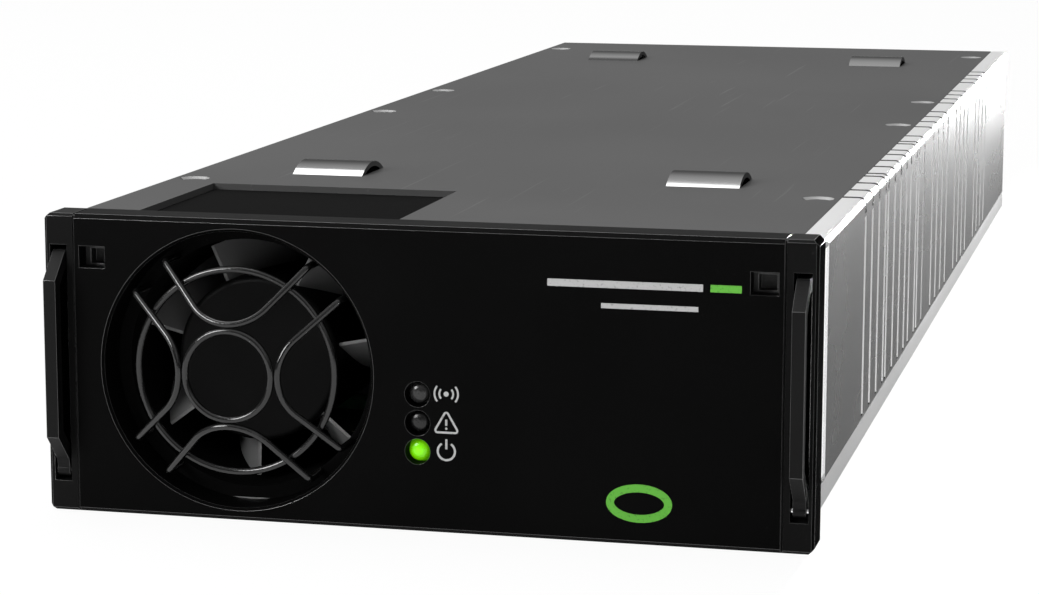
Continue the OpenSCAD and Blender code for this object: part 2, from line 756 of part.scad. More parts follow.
module front_bulkhead() {
    color([0.6, 0.6, 0.62]) at_module() difference() {
        along(bulkhead_y, fan_y0) inside_outline(joint_gap);
        rod_y(fan_x, fan_z, bulkhead_hole_r, 0, fan_y0 + 1);
        block([lamp_x - 2.4, 0, lamp_z - 2.4], [lamp_x + 2.4, fan_y0 + 1, lamp_height(2) + 2.4]);
        for (p = panel_bosses) rod_y(p.x, p.y, 1.1, 0, fan_y0 + 1);
        at_fan_corners() rod_y(0, 0, fan_hole_r, 0, fan_y0 + 1);
    }
}

module panel_screws() {
    color("silver") at_module() for (p = panel_bosses) {
        rod_y(p.x, p.y, 0.95, panel_t + 1, fan_y0 + eps);
        rod_y(p.x, p.y, 1.9, fan_y0, fan_y0 + 1.3);
    }
}

// tray with a guide step and an upright lip along both sides
module base_tray() {
    web = half_case - step_w;
    half = [[web, tray_z], [web, step_z], [half_case, step_z], [half_case, band_top], [half_case - sheet_t, band_top],
        [half_case - sheet_t, shelf_top], [web - sheet_t, shelf_top], [web - sheet_t, tray_top]];
    color([0.62, 0.62, 0.63]) at_module() along(panel_d, case_len) polygon(concat(half, flip(half)));
}

module right_side_wall() {
    edge = cover_right + joint_gap;
    inner = half_case - sheet_t;
    foot = half_case - 2 * sheet_t;
    color([0.78, 0.78, 0.8]) at_module() difference() {
        along(panel_d, case_len) polygon(concat(
            [[half_case, band_top]],
            arc(half_case - bend_r, case_top - bend_r, bend_r, 0, 90, 5),
            [[edge, case_top], [edge, cover_z], [cover_right - ledge_w, cover_z], [cover_right - ledge_w, ledge_z],
                [edge + sheet_t, ledge_z], [edge + sheet_t, case_top - sheet_t], [inner, case_top - sheet_t],
                [inner, band_top + sheet_t], [foot, band_top + sheet_t], [foot, shelf_top], [inner, shelf_top],
                [inner, band_top]]
        ));
        // L-shaped slots over the bend, each with a flute below it
        at_slots() {
            block([edge, -wall_slot_w / 2, case_top - sheet_t - eps], [half_case + 1, wall_slot_w / 2, case_top + 1]);
            block([inner - eps, -wall_slot_w / 2, case_top - wall_slot_h], [half_case + 1, wall_slot_w / 2, case_top + 1]);
            flute();
        }
        // front end set in so that it stands behind the panel's rim
        translate([0, 0, -1]) linear_extrude(case_top + 2) polygon([
            [half_case - set_in, panel_d - 1], [half_case - set_in, panel_d + set_in_len],
            [half_case, panel_d + set_in_len + slope_len], [half_case + 1, panel_d + set_in_len + slope_len],
            [half_case + 1, panel_d - 1]
        ]);
    }
}

module flute() {
    r = (pow(flute_w / 2, 2) + pow(flute_h, 2)) / (2 * flute_h);
    z0 = band_top + 0.6;
    z1 = case_top - wall_slot_h - 0.5;
    translate([half_case - flute_h + r, 0, z0]) cylinder(r = r, h = z1 - z0);
}

module left_side_wall() {
    inner = half_case - sheet_t;
    foot = half_case - 2 * sheet_t;
    color([0.78, 0.78, 0.8]) at_module() along(panel_d, case_len) polygon(flip([
        [half_case, band_top], [half_case, cover_z], [half_case - ledge_w, cover_z], [half_case - ledge_w, ledge_z],
        [inner, ledge_z], [inner, band_top + sheet_t], [foot, band_top + sheet_t], [foot, shelf_top],
        [inner, shelf_top], [inner, band_top]
    ]));
}

// circle whose segment of the given height stands on the arch's length
arch_r = (pow(arch_len / 2, 2) + pow(arch_h, 2)) / (2 * arch_h);

module at_arches() {
    for (s = [-1, 1], y = [arch_y0, arch_y1]) translate([cover_mid + s * arch_x, y, case_top + arch_h - arch_r]) children();
}

module top_cover() {
    color([0.42, 0.42, 0.43]) at_module() difference() {
        union() {
            block([-half_case, panel_d, cover_z], [cover_right, case_len, case_top]);
            intersection() {
                at_arches() rotate([0, 90, 0]) cylinder(r = arch_r, h = arch_w, center = true);
                block([-half_case, panel_d, cover_z + eps], [cover_right, case_len, case_top + arch_h + 1]);
            }
        }
        at_arches() rotate([0, 90, 0]) cylinder(r = arch_r - arch_t, h = arch_w + 0.02, center = true);
        for (x = [dimple_inset - half_case, cover_right - dimple_inset], y = dimple_y) translate([x, y, case_top - dimple_h])
            cylinder(d1 = dimple_d - 1, d2 = dimple_d, h = dimple_h + eps);
        block([fan_x - fan_size / 2 - cover_gap, 0, cover_z - 1],
            [fan_x + fan_size / 2 + cover_gap, duct_y1 + cover_gap, case_top + 1]);
    }
}

module rear_panel() {
    vent_w = 3;
    vent_pitch = 6;
    color([0.6, 0.6, 0.62]) at_module() difference() {
        along(case_len - sheet_t, case_len) inside_outline(joint_gap);
        // opening for the connector
        block([-plug_w / 2 - joint_gap, 0, board_top - joint_gap],
            [plug_w / 2 + joint_gap, case_len + 1, board_top + plug_h + joint_gap]);
        for (x = [-7 : 7]) block([x * vent_pitch - vent_w / 2, 0, board_top + plug_h + 2.4],
            [x * vent_pitch + vent_w / 2, case_len + 1, ledge_z - 2]);
        for (s = [-1, 1], i = [0 : 1]) translate([s * (plug_w / 2 + 4.5 + i * vent_pitch), 0, 0])
            block([-vent_w / 2, 0, board_top + 3], [vent_w / 2, case_len + 1, board_top + plug_h]);
    }
}

// ---------- boards and what they carry ----------

module indicator_board() {
    color([0.1, 0.35, 0.18]) at_module() difference() {
        block([lamp_x - 5, indicator_y, tray_top + 2], [half_case - 7, indicator_y + board_t, ledge_z - 2]);
        for (p = spacer_points) rod_y(p.x, p.y, screw_r, indicator_y - 1, indicator_y + board_t + 1);
    }
}

module board_spacers() {
    color([0.85, 0.8, 0.6]) at_module() for (p = spacer_points) difference() {
        rod_y(p.x, p.y, 2.2, fan_y0, indicator_y);
        rod_y(p.x, p.y, screw_r, fan_y0 - 1, indicator_y + 1);
    }
}

module leds() {
    color([0.9, 0.9, 0.85]) at_module() for (i = [0 : 2]) translate([lamp_x, 0, lamp_height(i)])
        block([-1.4, indicator_y - led_h, -1], [1.4, indicator_y, 1]);
}

module at_standoffs() {
    for (x = [-standoff_x, standoff_x], y = standoff_y) translate([x, y, 0]) children();
}

module insulating_sheet() {
    half = half_case - step_w - sheet_t - board_gap;
    color([0.9, 0.88, 0.8]) at_module() difference() {
        block([-half, board_y0 - 2, tray_top], [half, board_y1, tray_top + sheet_film]);
        at_standoffs() translate([0, 0, tray_top - 1]) cylinder(r = standoff_r + 0.2, h = 3);
    }
}

module standoffs() {
    color([0.75, 0.72, 0.6]) at_module() at_standoffs() translate([0, 0, tray_top]) difference() {
        cylinder(r = standoff_r, h = standoff_h);
        translate([0, 0, -1]) cylinder(r = screw_r, h = standoff_h + 2);
    }
}

module main_board() {
    color([0.1, 0.35, 0.18]) at_module() difference() {
        block([-board_half, board_y0, board_z], [board_half, board_y1, board_top]);
        at_standoffs() translate([0, 0, board_z - 1]) cylinder(r = screw_r, h = board_t + 2);
    }
}

// screw whose head stands on a board's face at z = 0
module board_screw() {
    translate([0, 0, -board_t - 1.5]) cylinder(r = screw_r - 0.05, h = board_t + 1.5 + eps);
    cylinder(r = head_r, h = 1.5);
}

module board_screws() {
    color("silver") at_module() {
        at_standoffs() translate([0, 0, board_top]) board_screw();
        for (p = spacer_points) translate([p.x, indicator_y + board_t, p.y]) rotate([-90, 0, 0]) board_screw();
    }
}

module bulk_capacitors() {
    can_h = build_h + headroom / 2;
    color([0.12, 0.14, 0.2]) at_module() for (x = can_x, y = can_y) translate([x, y, board_top]) difference() {
        cylinder(d = can_d, h = can_h);
        // crimped groove round the foot
        translate([0, 0, 3]) rotate_extrude() translate([can_d / 2, 0]) circle(r = 0.7);
    }
}

// wound ring core standing on a plastic foot
module standing_toroid(ring, wire) {
    translate([0, 0, ring + wire]) rotate([0, 90, 0]) rotate_extrude() translate([ring, 0]) circle(r = wire);
    translate([-wire - 2, -ring, 0]) cube([2 * wire + 4, 2 * ring, 2.5]);
}

module filter_chokes() {
    color([0.7, 0.4, 0.15]) at_module() for (y = choke_y) translate([choke_x, y, board_top])
        standing_toroid(build_h / 2 - choke_wire, choke_wire);
}

module filter_capacitors() {
    color([0.85, 0.7, 0.2]) at_module() for (i = [0 : 2])
        translate([choke_x + 12, case_len - 83 + i * 12, board_top]) cube([film_l, 8, build_h - 9]);
}

module fuse() {
    axis_z = board_top + 5;
    color([0.9, 0.9, 0.86]) at_module() translate([choke_x + 24, case_len - 49, 0]) {
        rod_y(0, axis_z, 3, 2, 26);
        for (y = [0, 21]) {
            rod_y(0, axis_z, 3.4, y, y + 6);
            block([-0.8, y + 1, board_top], [0.8, y + 5, axis_z]);
        }
    }
}

module relay() {
    color([0.15, 0.25, 0.5]) at_module() translate([choke_x + 31, case_len - 55, board_top]) cube([12, 28, build_h - 11]);
}

// wound ring core lying on a plastic base
module lying_toroid(ring, wire) {
    side = 1.8 * (ring + wire);
    translate([0, 0, wire]) rotate_extrude() translate([ring, 0]) circle(r = wire);
    cylinder(r = ring - 0.5 * wire, h = 2);
    translate([-side / 2, -side / 2, 0]) cube([side, side, 0.8]);
}

module boost_inductor() {
    color([0.75, 0.5, 0.2]) at_module() translate([boost_x, boost_y, board_top]) lying_toroid(boost_ring, boost_wire);
}

module resonant_inductor() {
    color([0.7, 0.4, 0.15]) at_module() translate([half_case - 27, tank_y, board_top]) lying_toroid(tank_ring, tank_wire);
}

// packages pressed against the right wall, two slots to each
module power_transistors() {
    package_t = 5;
    package_w = 15.6;
    color([0.12, 0.12, 0.12]) at_module() for (row = slot_rows) if (row[2] == 4) for (k = [0.5, 2.5])
        translate([wall_in, row[0] + k * row[1], board_top]) {
            block([-package_t, -package_w / 2, 6], [0, package_w / 2, build_h]);
            for (y = [-5.4, 0, 5.4]) block([-3.4, y - 0.6, 0], [-2.6, y + 0.6, 6 + eps]);
        }
}

// finned extrusion against the left wall
module heat_sink() {
    fin_t = 1.2;
    fin_pitch = 4.4;
    base_t = 3;
    z0 = band_top + sheet_t + 1.5;
    z1 = ledge_z - 1;
    color([0.7, 0.7, 0.72]) at_module() along(board_y0 + 12, boost_y - 8) {
        translate([-wall_in, z0]) square([base_t, z1 - z0]);
        for (z = [z0 : fin_pitch : z1 - fin_t]) translate([base_t - eps - wall_in, z]) square([sink_d - base_t, fin_t]);
    }
}

module at_transformers() {
    for (y = core_y) translate([core_x, y, board_top]) children();
}

module transformer_cores() {
    yoke = 4;
    color([0.22, 0.22, 0.23]) at_module() at_transformers() along(-core_l / 2, core_l / 2) difference() {
        translate([-core_w / 2, 0]) square([core_w, build_h]);
        for (s = [-1, 1]) translate([s * (leg_w + window_gap) / 2 - window_gap / 2, yoke])
            square([window_gap, build_h - 2 * yoke]);
    }
}

module transformer_windings() {
    gap = 0.3;
    yoke = 4;
    color([0.85, 0.65, 0.2]) at_module() at_transformers() translate([0, 0, yoke + gap])
        linear_extrude(build_h - 2 * yoke - 2 * gap) difference() {
            square([leg_w + 2 * window_gap - 2 * gap, coil_l - 2 * gap], center = true);
            square([leg_w + 2 * gap, core_l + 2 * gap], center = true);
        }
}

module output_capacitors() {
    x0 = standoff_x - head_r - 0.6 - out_can_d / 2;
    color([0.15, 0.2, 0.35]) at_module() for (i = [0 : 3], y = out_y)
        translate([x0 - i * (out_can_d + 0.4), y, board_top]) cylinder(d = out_can_d, h = build_h - 5);
}

module output_busbars() {
    color([0.8, 0.5, 0.3]) at_module() for (cell = [power_cells[3], power_cells[4]])
        block([cell.x - 0.75, out_y[1] + out_can_d / 2 + 2, board_top], [cell.x + 0.75, plug_y0, board_top + 11]);
}

// ---------- rear connector ----------

module rear_connector() {
    mid = board_top + plug_h / 2;
    color([0.1, 0.1, 0.12]) at_module() difference() {
        block([-plug_w / 2, plug_y0, board_top], [plug_w / 2, case_len, board_top + plug_h]);
        for (c = concat(power_cells, [signal_cell])) translate([c.x, case_len, mid])
            cube([c.y, 2 * cell_depth, c.z], center = true);
        // lead-in corners towards the shelf
        for (s = [-1, 1]) translate([s * plug_w / 2, case_len, mid]) rotate([0, 0, 45])
            cube([2, 2, plug_h + 2], center = true);
    }
}

// flat blades on the upper and lower side of each power cavity
module power_contacts() {
    mid = board_top + plug_h / 2;
    y0 = case_len - cell_depth;
    color([0.85, 0.7, 0.35]) at_module() for (c = power_cells, s = [-1, 1])
        translate([c.x, y0, mid + s * (c.z - contact_t) / 2])
            translate([1 - c.y / 2, 0, -contact_t / 2]) cube([c.y - 2, cell_depth - 2, contact_t]);
}

module signal_contacts() {
    mid = board_top + plug_h / 2;
    y0 = case_len - cell_depth;
    pin_w = 0.6;
    pin_pitch = 1.25;
    count = floor((signal_cell.y - 2 * pin_w) / pin_pitch) + 1;
    color([0.85, 0.7, 0.35]) at_module() for (i = [0 : count - 1], s = [-1, 1])
        translate([signal_cell.x + (i + 0.5 - count / 2) * pin_pitch, y0, mid + s * (signal_cell.z - pin_w) / 2])
            translate([-pin_w / 2, 0, -pin_w / 2]) cube([pin_w, cell_depth - 3, pin_w]);
}

front_panel();
front_bulkhead();
base_tray();
right_side_wall();
left_side_wall();
top_cover();
rear_panel();
fan_guard();
fan_frame();
fan_stator();
fan_bearings();
air_duct();
fan_screws();
panel_screws();
left_hinge_pin();
right_hinge_pin();
indicator_board();
board_spacers();
leds();
light_pipe_low();
light_pipe_mid();
light_pipe_top();
insulating_sheet();
standoffs();
main_board();
board_screws();
bulk_capacitors();
filter_chokes();
filter_capacitors();
fuse();
relay();
boost_inductor();
power_transistors();
heat_sink();
transformer_cores();
transformer_windings();
resonant_inductor();
output_capacitors();
output_busbars();
rear_connector();
power_contacts();
signal_contacts();
fan_impeller();
fan_magnet();
fan_shaft();
left_handle();
right_handle();
left_latch();
right_latch();
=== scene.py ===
# %% [markdown]
# # A plug-in power module
# The real object is a flat steel case, about 109 mm wide and 330 mm long, that
# slides into a shelf. A black moulded panel closes its front, with a fan behind
# a wire guard, three status lamps, two hinged handles and two release latches.
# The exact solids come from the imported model. This script dresses them: it adds
# finishes, and it makes again the pieces whose look needs softer edges.

# %% Load the solids
import json
from math import acos, atan2, cos, hypot, pi, radians, sin, sqrt

import bmesh
import bpy
from mathutils import Euler, Matrix, Vector


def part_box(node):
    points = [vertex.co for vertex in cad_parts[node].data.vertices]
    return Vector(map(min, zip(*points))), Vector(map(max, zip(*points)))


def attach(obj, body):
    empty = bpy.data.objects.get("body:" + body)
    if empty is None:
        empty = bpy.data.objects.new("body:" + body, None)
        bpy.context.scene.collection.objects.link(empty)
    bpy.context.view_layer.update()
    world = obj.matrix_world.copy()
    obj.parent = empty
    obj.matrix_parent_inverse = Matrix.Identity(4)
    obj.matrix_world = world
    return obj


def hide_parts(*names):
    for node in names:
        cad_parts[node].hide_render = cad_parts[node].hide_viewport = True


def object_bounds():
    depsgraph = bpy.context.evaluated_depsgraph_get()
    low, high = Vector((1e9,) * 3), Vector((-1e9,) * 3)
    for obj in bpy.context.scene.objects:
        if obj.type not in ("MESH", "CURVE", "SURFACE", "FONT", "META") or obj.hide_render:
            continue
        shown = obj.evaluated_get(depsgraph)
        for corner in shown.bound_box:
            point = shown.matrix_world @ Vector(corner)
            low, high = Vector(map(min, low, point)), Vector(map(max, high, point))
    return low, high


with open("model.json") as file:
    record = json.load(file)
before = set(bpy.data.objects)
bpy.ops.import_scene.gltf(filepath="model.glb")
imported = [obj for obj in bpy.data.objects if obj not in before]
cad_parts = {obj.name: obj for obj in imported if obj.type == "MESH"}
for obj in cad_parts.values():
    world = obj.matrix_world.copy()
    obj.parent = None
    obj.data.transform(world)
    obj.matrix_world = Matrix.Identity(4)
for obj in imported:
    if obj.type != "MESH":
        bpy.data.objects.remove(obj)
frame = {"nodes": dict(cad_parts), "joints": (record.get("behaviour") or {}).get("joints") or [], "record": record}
cad_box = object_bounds()
MM = 0.001

# %% [markdown]
# ## Places
# Every position below is measured on the solids, so nothing has to be fitted by
# eye. The front face is the lowest Y of the panel, and the fan turns about its
# joint's axis. A seam runs down each side of the panel, and the narrow strip
# outside it, which holds the handle, is called the ear.

# %% Measure the solids
EAR_WIDTH = 4.45 * MM


def size_of(node):
    low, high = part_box(node)
    return high - low


def middle(node):
    low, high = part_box(node)
    return (low + high) / 2


panel_lo, panel_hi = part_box("front_panel")
FACE = panel_lo.y
seam_x = panel_hi.x - EAR_WIDTH
fan_axis = next(Vector(j["pos_m"]) for j in frame["joints"] if j["name"] == "fan_spin")
lamp_places = [middle(name) for name in ("light_pipe_low", "light_pipe_mid", "light_pipe_top")]
print("front face at y = %.4f m, fan axis at x = %.4f, z = %.4f" % (FACE, fan_axis.x, fan_axis.z))

# %% [markdown]
# ## A shorthand for nodes
# Shader and geometry trees are graphs of nodes joined by wires. Long formulas
# are hard to read as node calls, so a wire gets the usual arithmetic signs:
# `1 - mask` adds a Math node set to Subtract. One method adds any other node.


# %% Wires with arithmetic
class Wire:
    def __init__(self, graph, socket):
        self.graph, self.socket = graph, socket

    def math(self, operation, first, second=0.0):
        return self.graph.node("ShaderNodeMath", {"operation": operation}, {0: first, 1: second})

    def __add__(self, other):
        return self.math("ADD", self, other)

    def __sub__(self, other):
        return self.math("SUBTRACT", self, other)

    def __mul__(self, other):
        return self.math("MULTIPLY", self, other)

    def __truediv__(self, other):
        return self.math("DIVIDE", self, other)

    def __radd__(self, other):
        return self if other == 0 else self.math("ADD", other, self)

    def __rsub__(self, other):
        return self.math("SUBTRACT", other, self)

    __rmul__ = __mul__


class Graph:
    def __init__(self, tree):
        self.tree = tree

    def fill(self, socket, value):
        """Join a wire to a socket, or write a plain value into it."""
        if isinstance(value, Wire):
            self.tree.links.new(value.socket, socket)
        else:
            socket.default_value = value

    def node(self, kind, settings=None, inputs=None, out=0):
        """Add a node. A list goes into one socket that takes many wires, and a
        tuple of outputs gives a wire for each of them."""
        made = self.tree.nodes.new(kind)
        for key, value in (settings or {}).items():
            setattr(made, key, value)
        for key, value in (inputs or {}).items():
            for each in value if isinstance(value, list) else [value]:
                self.fill(made.inputs[key], each)
        if isinstance(out, tuple):
            return [Wire(self, made.outputs[name]) for name in out]
        return Wire(self, made.outputs[out])


print("node shorthand ready")

# %% [markdown]
# ## Shapes from geometry trees
# A piece whose parts repeat or follow a path is a Geometry Nodes tree here. Its
# sizes are named inputs, so another fan or guard only needs other numbers. An
# input is set by its socket's identifier, which is unique even where two inputs
# share a name. Other programs can't read a live tree, so its result is kept as
# an ordinary mesh and the modifier is removed.


# %% A geometry tree and its mesh
def plain(piece):
    """Keep what the modifiers make as an ordinary mesh."""
    bpy.context.view_layer.update()
    made = piece.evaluated_get(bpy.context.evaluated_depsgraph_get())
    data = bpy.data.meshes.new_from_object(made)
    piece.modifiers.clear()
    piece.data = data
    return piece


class Shape(Graph):
    """A geometry tree whose sizes are named inputs."""

    def __init__(self, name, **sizes):
        super().__init__(bpy.data.node_groups.new(name, "GeometryNodeTree"))
        face = self.tree.interface
        face.new_socket("Geometry", in_out="INPUT", socket_type="NodeSocketGeometry")
        face.new_socket("Geometry", in_out="OUTPUT", socket_type="NodeSocketGeometry")
        self.values = {}
        for key, value in sizes.items():
            kind = "NodeSocketInt" if isinstance(value, int) else "NodeSocketFloat"
            made = face.new_socket(key, in_out="INPUT", socket_type=kind)
            self.values[made.identifier] = value
        entry = self.tree.nodes.new("NodeGroupInput")
        self.given = {socket.name: Wire(self, socket) for socket in entry.outputs}

    def make(self, name, shape, start, material):
        """Run the tree on the mesh `start` and keep the result as a piece."""
        whole = self.node("GeometryNodeRealizeInstances", None, {"Geometry": shape})
        dressed = self.node("GeometryNodeSetMaterial", None, {"Geometry": whole, "Material": material})
        end = self.tree.nodes.new("NodeGroupOutput")
        self.fill(end.inputs[0], dressed)
        piece = bpy.data.objects.new(name, start)
        bpy.context.scene.collection.objects.link(piece)
        modifier = piece.modifiers.new("shape", "NODES")
        modifier.node_group = self.tree
        for identifier, value in self.values.items():
            modifier[identifier] = value
        return plain(piece)


print("geometry trees ready")

# %% [markdown]
# ## Finishes
# A finish is a Principled shader whose colour, roughness and bump vary a little,
# at the scale of the real surface. Every pattern reads Object coordinates. They
# are metres, so a noise scale of 1000 gives grains of about a millimetre. A
# value that is the same all over a surface is set on the shader's own socket.


# %% A finish and its patterns
class Finish(Graph):
    def __init__(self, name, metallic=0.0, **fixed):
        self.material = bpy.data.materials.new(name)
        self.material.use_nodes = True
        super().__init__(self.material.node_tree)
        self.tree.nodes.clear()
        self.shader = self.tree.nodes.new("ShaderNodeBsdfPrincipled")
        self.shader.inputs["Metallic"].default_value = metallic
        for key, value in fixed.items():
            self.shader.inputs[key.replace("_", " ")].default_value = value
        self.output = self.tree.nodes.new("ShaderNodeOutputMaterial")
        self.tree.links.new(self.shader.outputs[0], self.output.inputs[0])
        self.place = self.node("ShaderNodeTexCoord", out="Object")

    def stretched(self, scale):
        return self.node("ShaderNodeMapping", None, {"Vector": self.place, "Scale": scale})

    def noise(self, scale, detail, stretch=None):
        place = self.stretched(stretch) if stretch else self.place
        inputs = {"Vector": place, "Scale": scale, "Detail": detail}
        return self.node("ShaderNodeTexNoise", None, inputs, "Fac")

    def cells(self, scale, stretch=None, out="Color"):
        place = self.stretched(stretch) if stretch else self.place
        return self.node("ShaderNodeTexVoronoi", None, {"Vector": place, "Scale": scale}, out)

    def between(self, value, low, high):
        """Run from 0 where the value is `low` to 1 where it is `high`."""
        return self.node("ShaderNodeMapRange", None, {"Value": value, "From Min": low, "From Max": high})

    def mix(self, factor, first, second):
        settings = {"data_type": "RGBA", "clamp_factor": True}
        return self.node("ShaderNodeMix", settings, {0: factor, 6: first, 7: second}, 2)

    def set(self, socket, wire):
        self.tree.links.new(wire.socket, self.shader.inputs[socket])

    def bump(self, height, depth):
        inputs = {"Height": height, "Distance": depth, "Strength": 1.0}
        self.set("Normal", self.node("ShaderNodeBump", None, inputs))


def grey(value, warm=0.0):
    return (value * (1 + warm), value, value * (1 - warm), 1)


def share_of(colour, share=1.0):
    return tuple(c * share for c in colour) + (1,)


print("finish class ready")

# %% [markdown]
# ### Plastic and lacquer
# The panel's mould was spark-eroded, which leaves a fine even grain. A picture of
# such a grain could be laid on, but it would have to be fitted to every face and
# would show seams. Two noises need no fitting: a small one makes the grain in the
# bump, and a broad one makes the gloss slightly uneven, as handling does. They
# average about a half, so half of what they add is taken off the roughness.
# The guard's wire has a dark lacquer, which is the same finish with less
# roughness. Small coloured parts, such as tape, have a speckle in their colour.


# %% Plastic finishes
def moulded(name, tone, grain=2200, rough=0.42, depth=0.02 * MM, level=0.5):
    f = Finish(name, IOR=1.5, Specular_IOR_Level=level)
    broad, fine = f.noise(45, 2), f.noise(grain, 2)
    f.set("Base Color", f.mix(f.between(broad, 0.3, 0.7), grey(tone * 0.85), grey(tone * 1.15)))
    f.set("Roughness", f.between(broad, 0.2, 0.8) * 0.1 + fine * 0.08 + (rough - 0.09))
    f.bump(fine, depth)
    return f.material


def tinted(name, colour, rough=0.35):
    f = Finish(name, IOR=1.5)
    fine = f.noise(900, 3)
    f.set("Base Color", f.mix(f.between(fine, 0.35, 0.65), share_of(colour, 0.88), share_of(colour)))
    f.set("Roughness", f.noise(160, 2) * 0.16 + (rough - 0.08))
    f.bump(fine, 0.01 * MM)
    return f.material


print("plastic finishes ready")

# %% [markdown]
# ### Sheet metal
# Rolled sheet carries faint streaks along the rolling direction, here the length
# of the case. Modelled scratches would cost many faces, so the noise is stretched
# along Y instead. A metal's specular tint dims what it mirrors at a grazing
# angle, as a dull oxide film does. Zinc plating shows soft crystals, which a
# Voronoi texture gives. The cover is painted, with the fine peel of sprayed
# paint and a few hairline scratches along its length.


# %% Metal finishes
def rolled(name, tone, rough, along=(1, 0.02, 1), warm=0.0, spread=0.05, edge=1.0, metallic=1.0):
    f = Finish(name, metallic=metallic, Specular_Tint=grey(edge))
    streak, broad = f.noise(160, 2, along), f.noise(28, 2)
    shade = f.between(streak * 0.6 + broad * 0.4, 0.35, 0.65)
    f.set("Base Color", f.mix(shade, grey(tone * (1 - spread), warm), grey(tone, warm)))
    f.set("Roughness", streak * 0.03 + broad * 0.05 + (rough - 0.04))
    return f.material


def plated(name, tone, rough):
    f = Finish(name, metallic=1.0)
    crystal = f.cells(260)
    shade = f.node("ShaderNodeSeparateColor", None, {0: crystal})
    f.set("Base Color", f.mix(shade, grey(tone * 0.86, -0.02), grey(tone, 0.015)))
    f.set("Roughness", shade * 0.12 + f.noise(900, 2) * 0.08 + (rough - 0.1))
    f.bump(f.noise(1400, 2), 0.003 * MM)
    return f.material


def painted(name, tone, rough, level):
    f = Finish(name, IOR=1.5, Specular_IOR_Level=level)
    peel, broad = f.noise(1100, 1), f.noise(18, 3)
    scratch = f.between(f.noise(900, 5, (1, 0.015, 1)), 0.66, 0.72)
    base = f.mix(f.between(broad, 0.3, 0.7), grey(tone * 0.92), grey(tone * 1.08))
    f.set("Base Color", f.mix(scratch * 0.25, base, grey(tone * 2.2)))
    f.set("Roughness", broad * 0.1 + (rough - 0.05) - scratch * 0.06)
    f.bump(peel, 0.006 * MM)
    return f.material


print("metal finishes ready")

# %% [markdown]
# ### Special finishes
# The lowest lamp is lit. A small light behind a clear lens could make that, but
# a lens of this size looks the same when its own surface glows. It is brightest
# in the middle, so the glow falls off with the distance from the lens's axis.
# A circuit board shows its copper tracks as slightly raised, paler green marks
# under the solder mask, which a stretched cell texture gives. Wound parts show
# the turns of their wire as fine ridges, which a wave texture gives.


# %% Lit lens, board and winding
def glowing(name, centre, radius, colour):
    f = Finish(name, Roughness=0.25, IOR=1.49)
    shifted = f.node("ShaderNodeVectorMath", {"operation": "SUBTRACT"}, {0: f.place, 1: centre})
    flat = f.node("ShaderNodeVectorMath", {"operation": "MULTIPLY"}, {0: shifted, 1: (1, 0, 1)})
    away = f.node("ShaderNodeVectorMath", {"operation": "LENGTH"}, {0: flat}, "Value") / radius
    core = f.between(away, 1.0, 0.1)
    f.set("Base Color", f.mix(core, share_of(colour, 0.5), share_of(colour)))
    f.set("Emission Color", f.mix(core, share_of(colour, 0.25), share_of(colour)))
    f.shader.inputs["Emission Strength"].default_value = 1.0
    return f.material


def board_green(name):
    f = Finish(name, IOR=1.5)
    track = f.between(f.cells(420, (1, 0.4, 1), "Distance"), 0.32, 0.36)
    f.set("Base Color", f.mix(track, (0.012, 0.09, 0.035, 1), (0.02, 0.16, 0.06, 1)))
    f.set("Roughness", f.noise(300, 2) * 0.15 + 0.25)
    f.bump(track, 0.02 * MM)
    return f.material


def wound(name, colour):
    f = Finish(name, metallic=0.6)
    inputs = {"Vector": f.place, "Scale": 420.0, "Distortion": 1.5, "Detail": 1.0}
    turns = f.node("ShaderNodeTexWave", None, inputs, "Fac")
    f.set("Base Color", f.mix(turns, share_of(colour, 0.45), share_of(colour)))
    f.set("Roughness", turns * 0.15 + 0.25)
    f.bump(turns, 0.1 * MM)
    return f.material


print("special finishes ready")

# %% [markdown]
# ### The finish of every slot
# The record gives each node a finish slot, such as black_plastic, and this table
# says what each slot looks like. A table keeps all the looks in one place, so
# that two blacks can be compared at a glance. A tone is the share of light that
# the surface gives back: 0.0025 is a very deep black, and 0.9 is polished steel.
# A low level takes the gloss off a black face, which would otherwise look grey
# at a grazing angle.

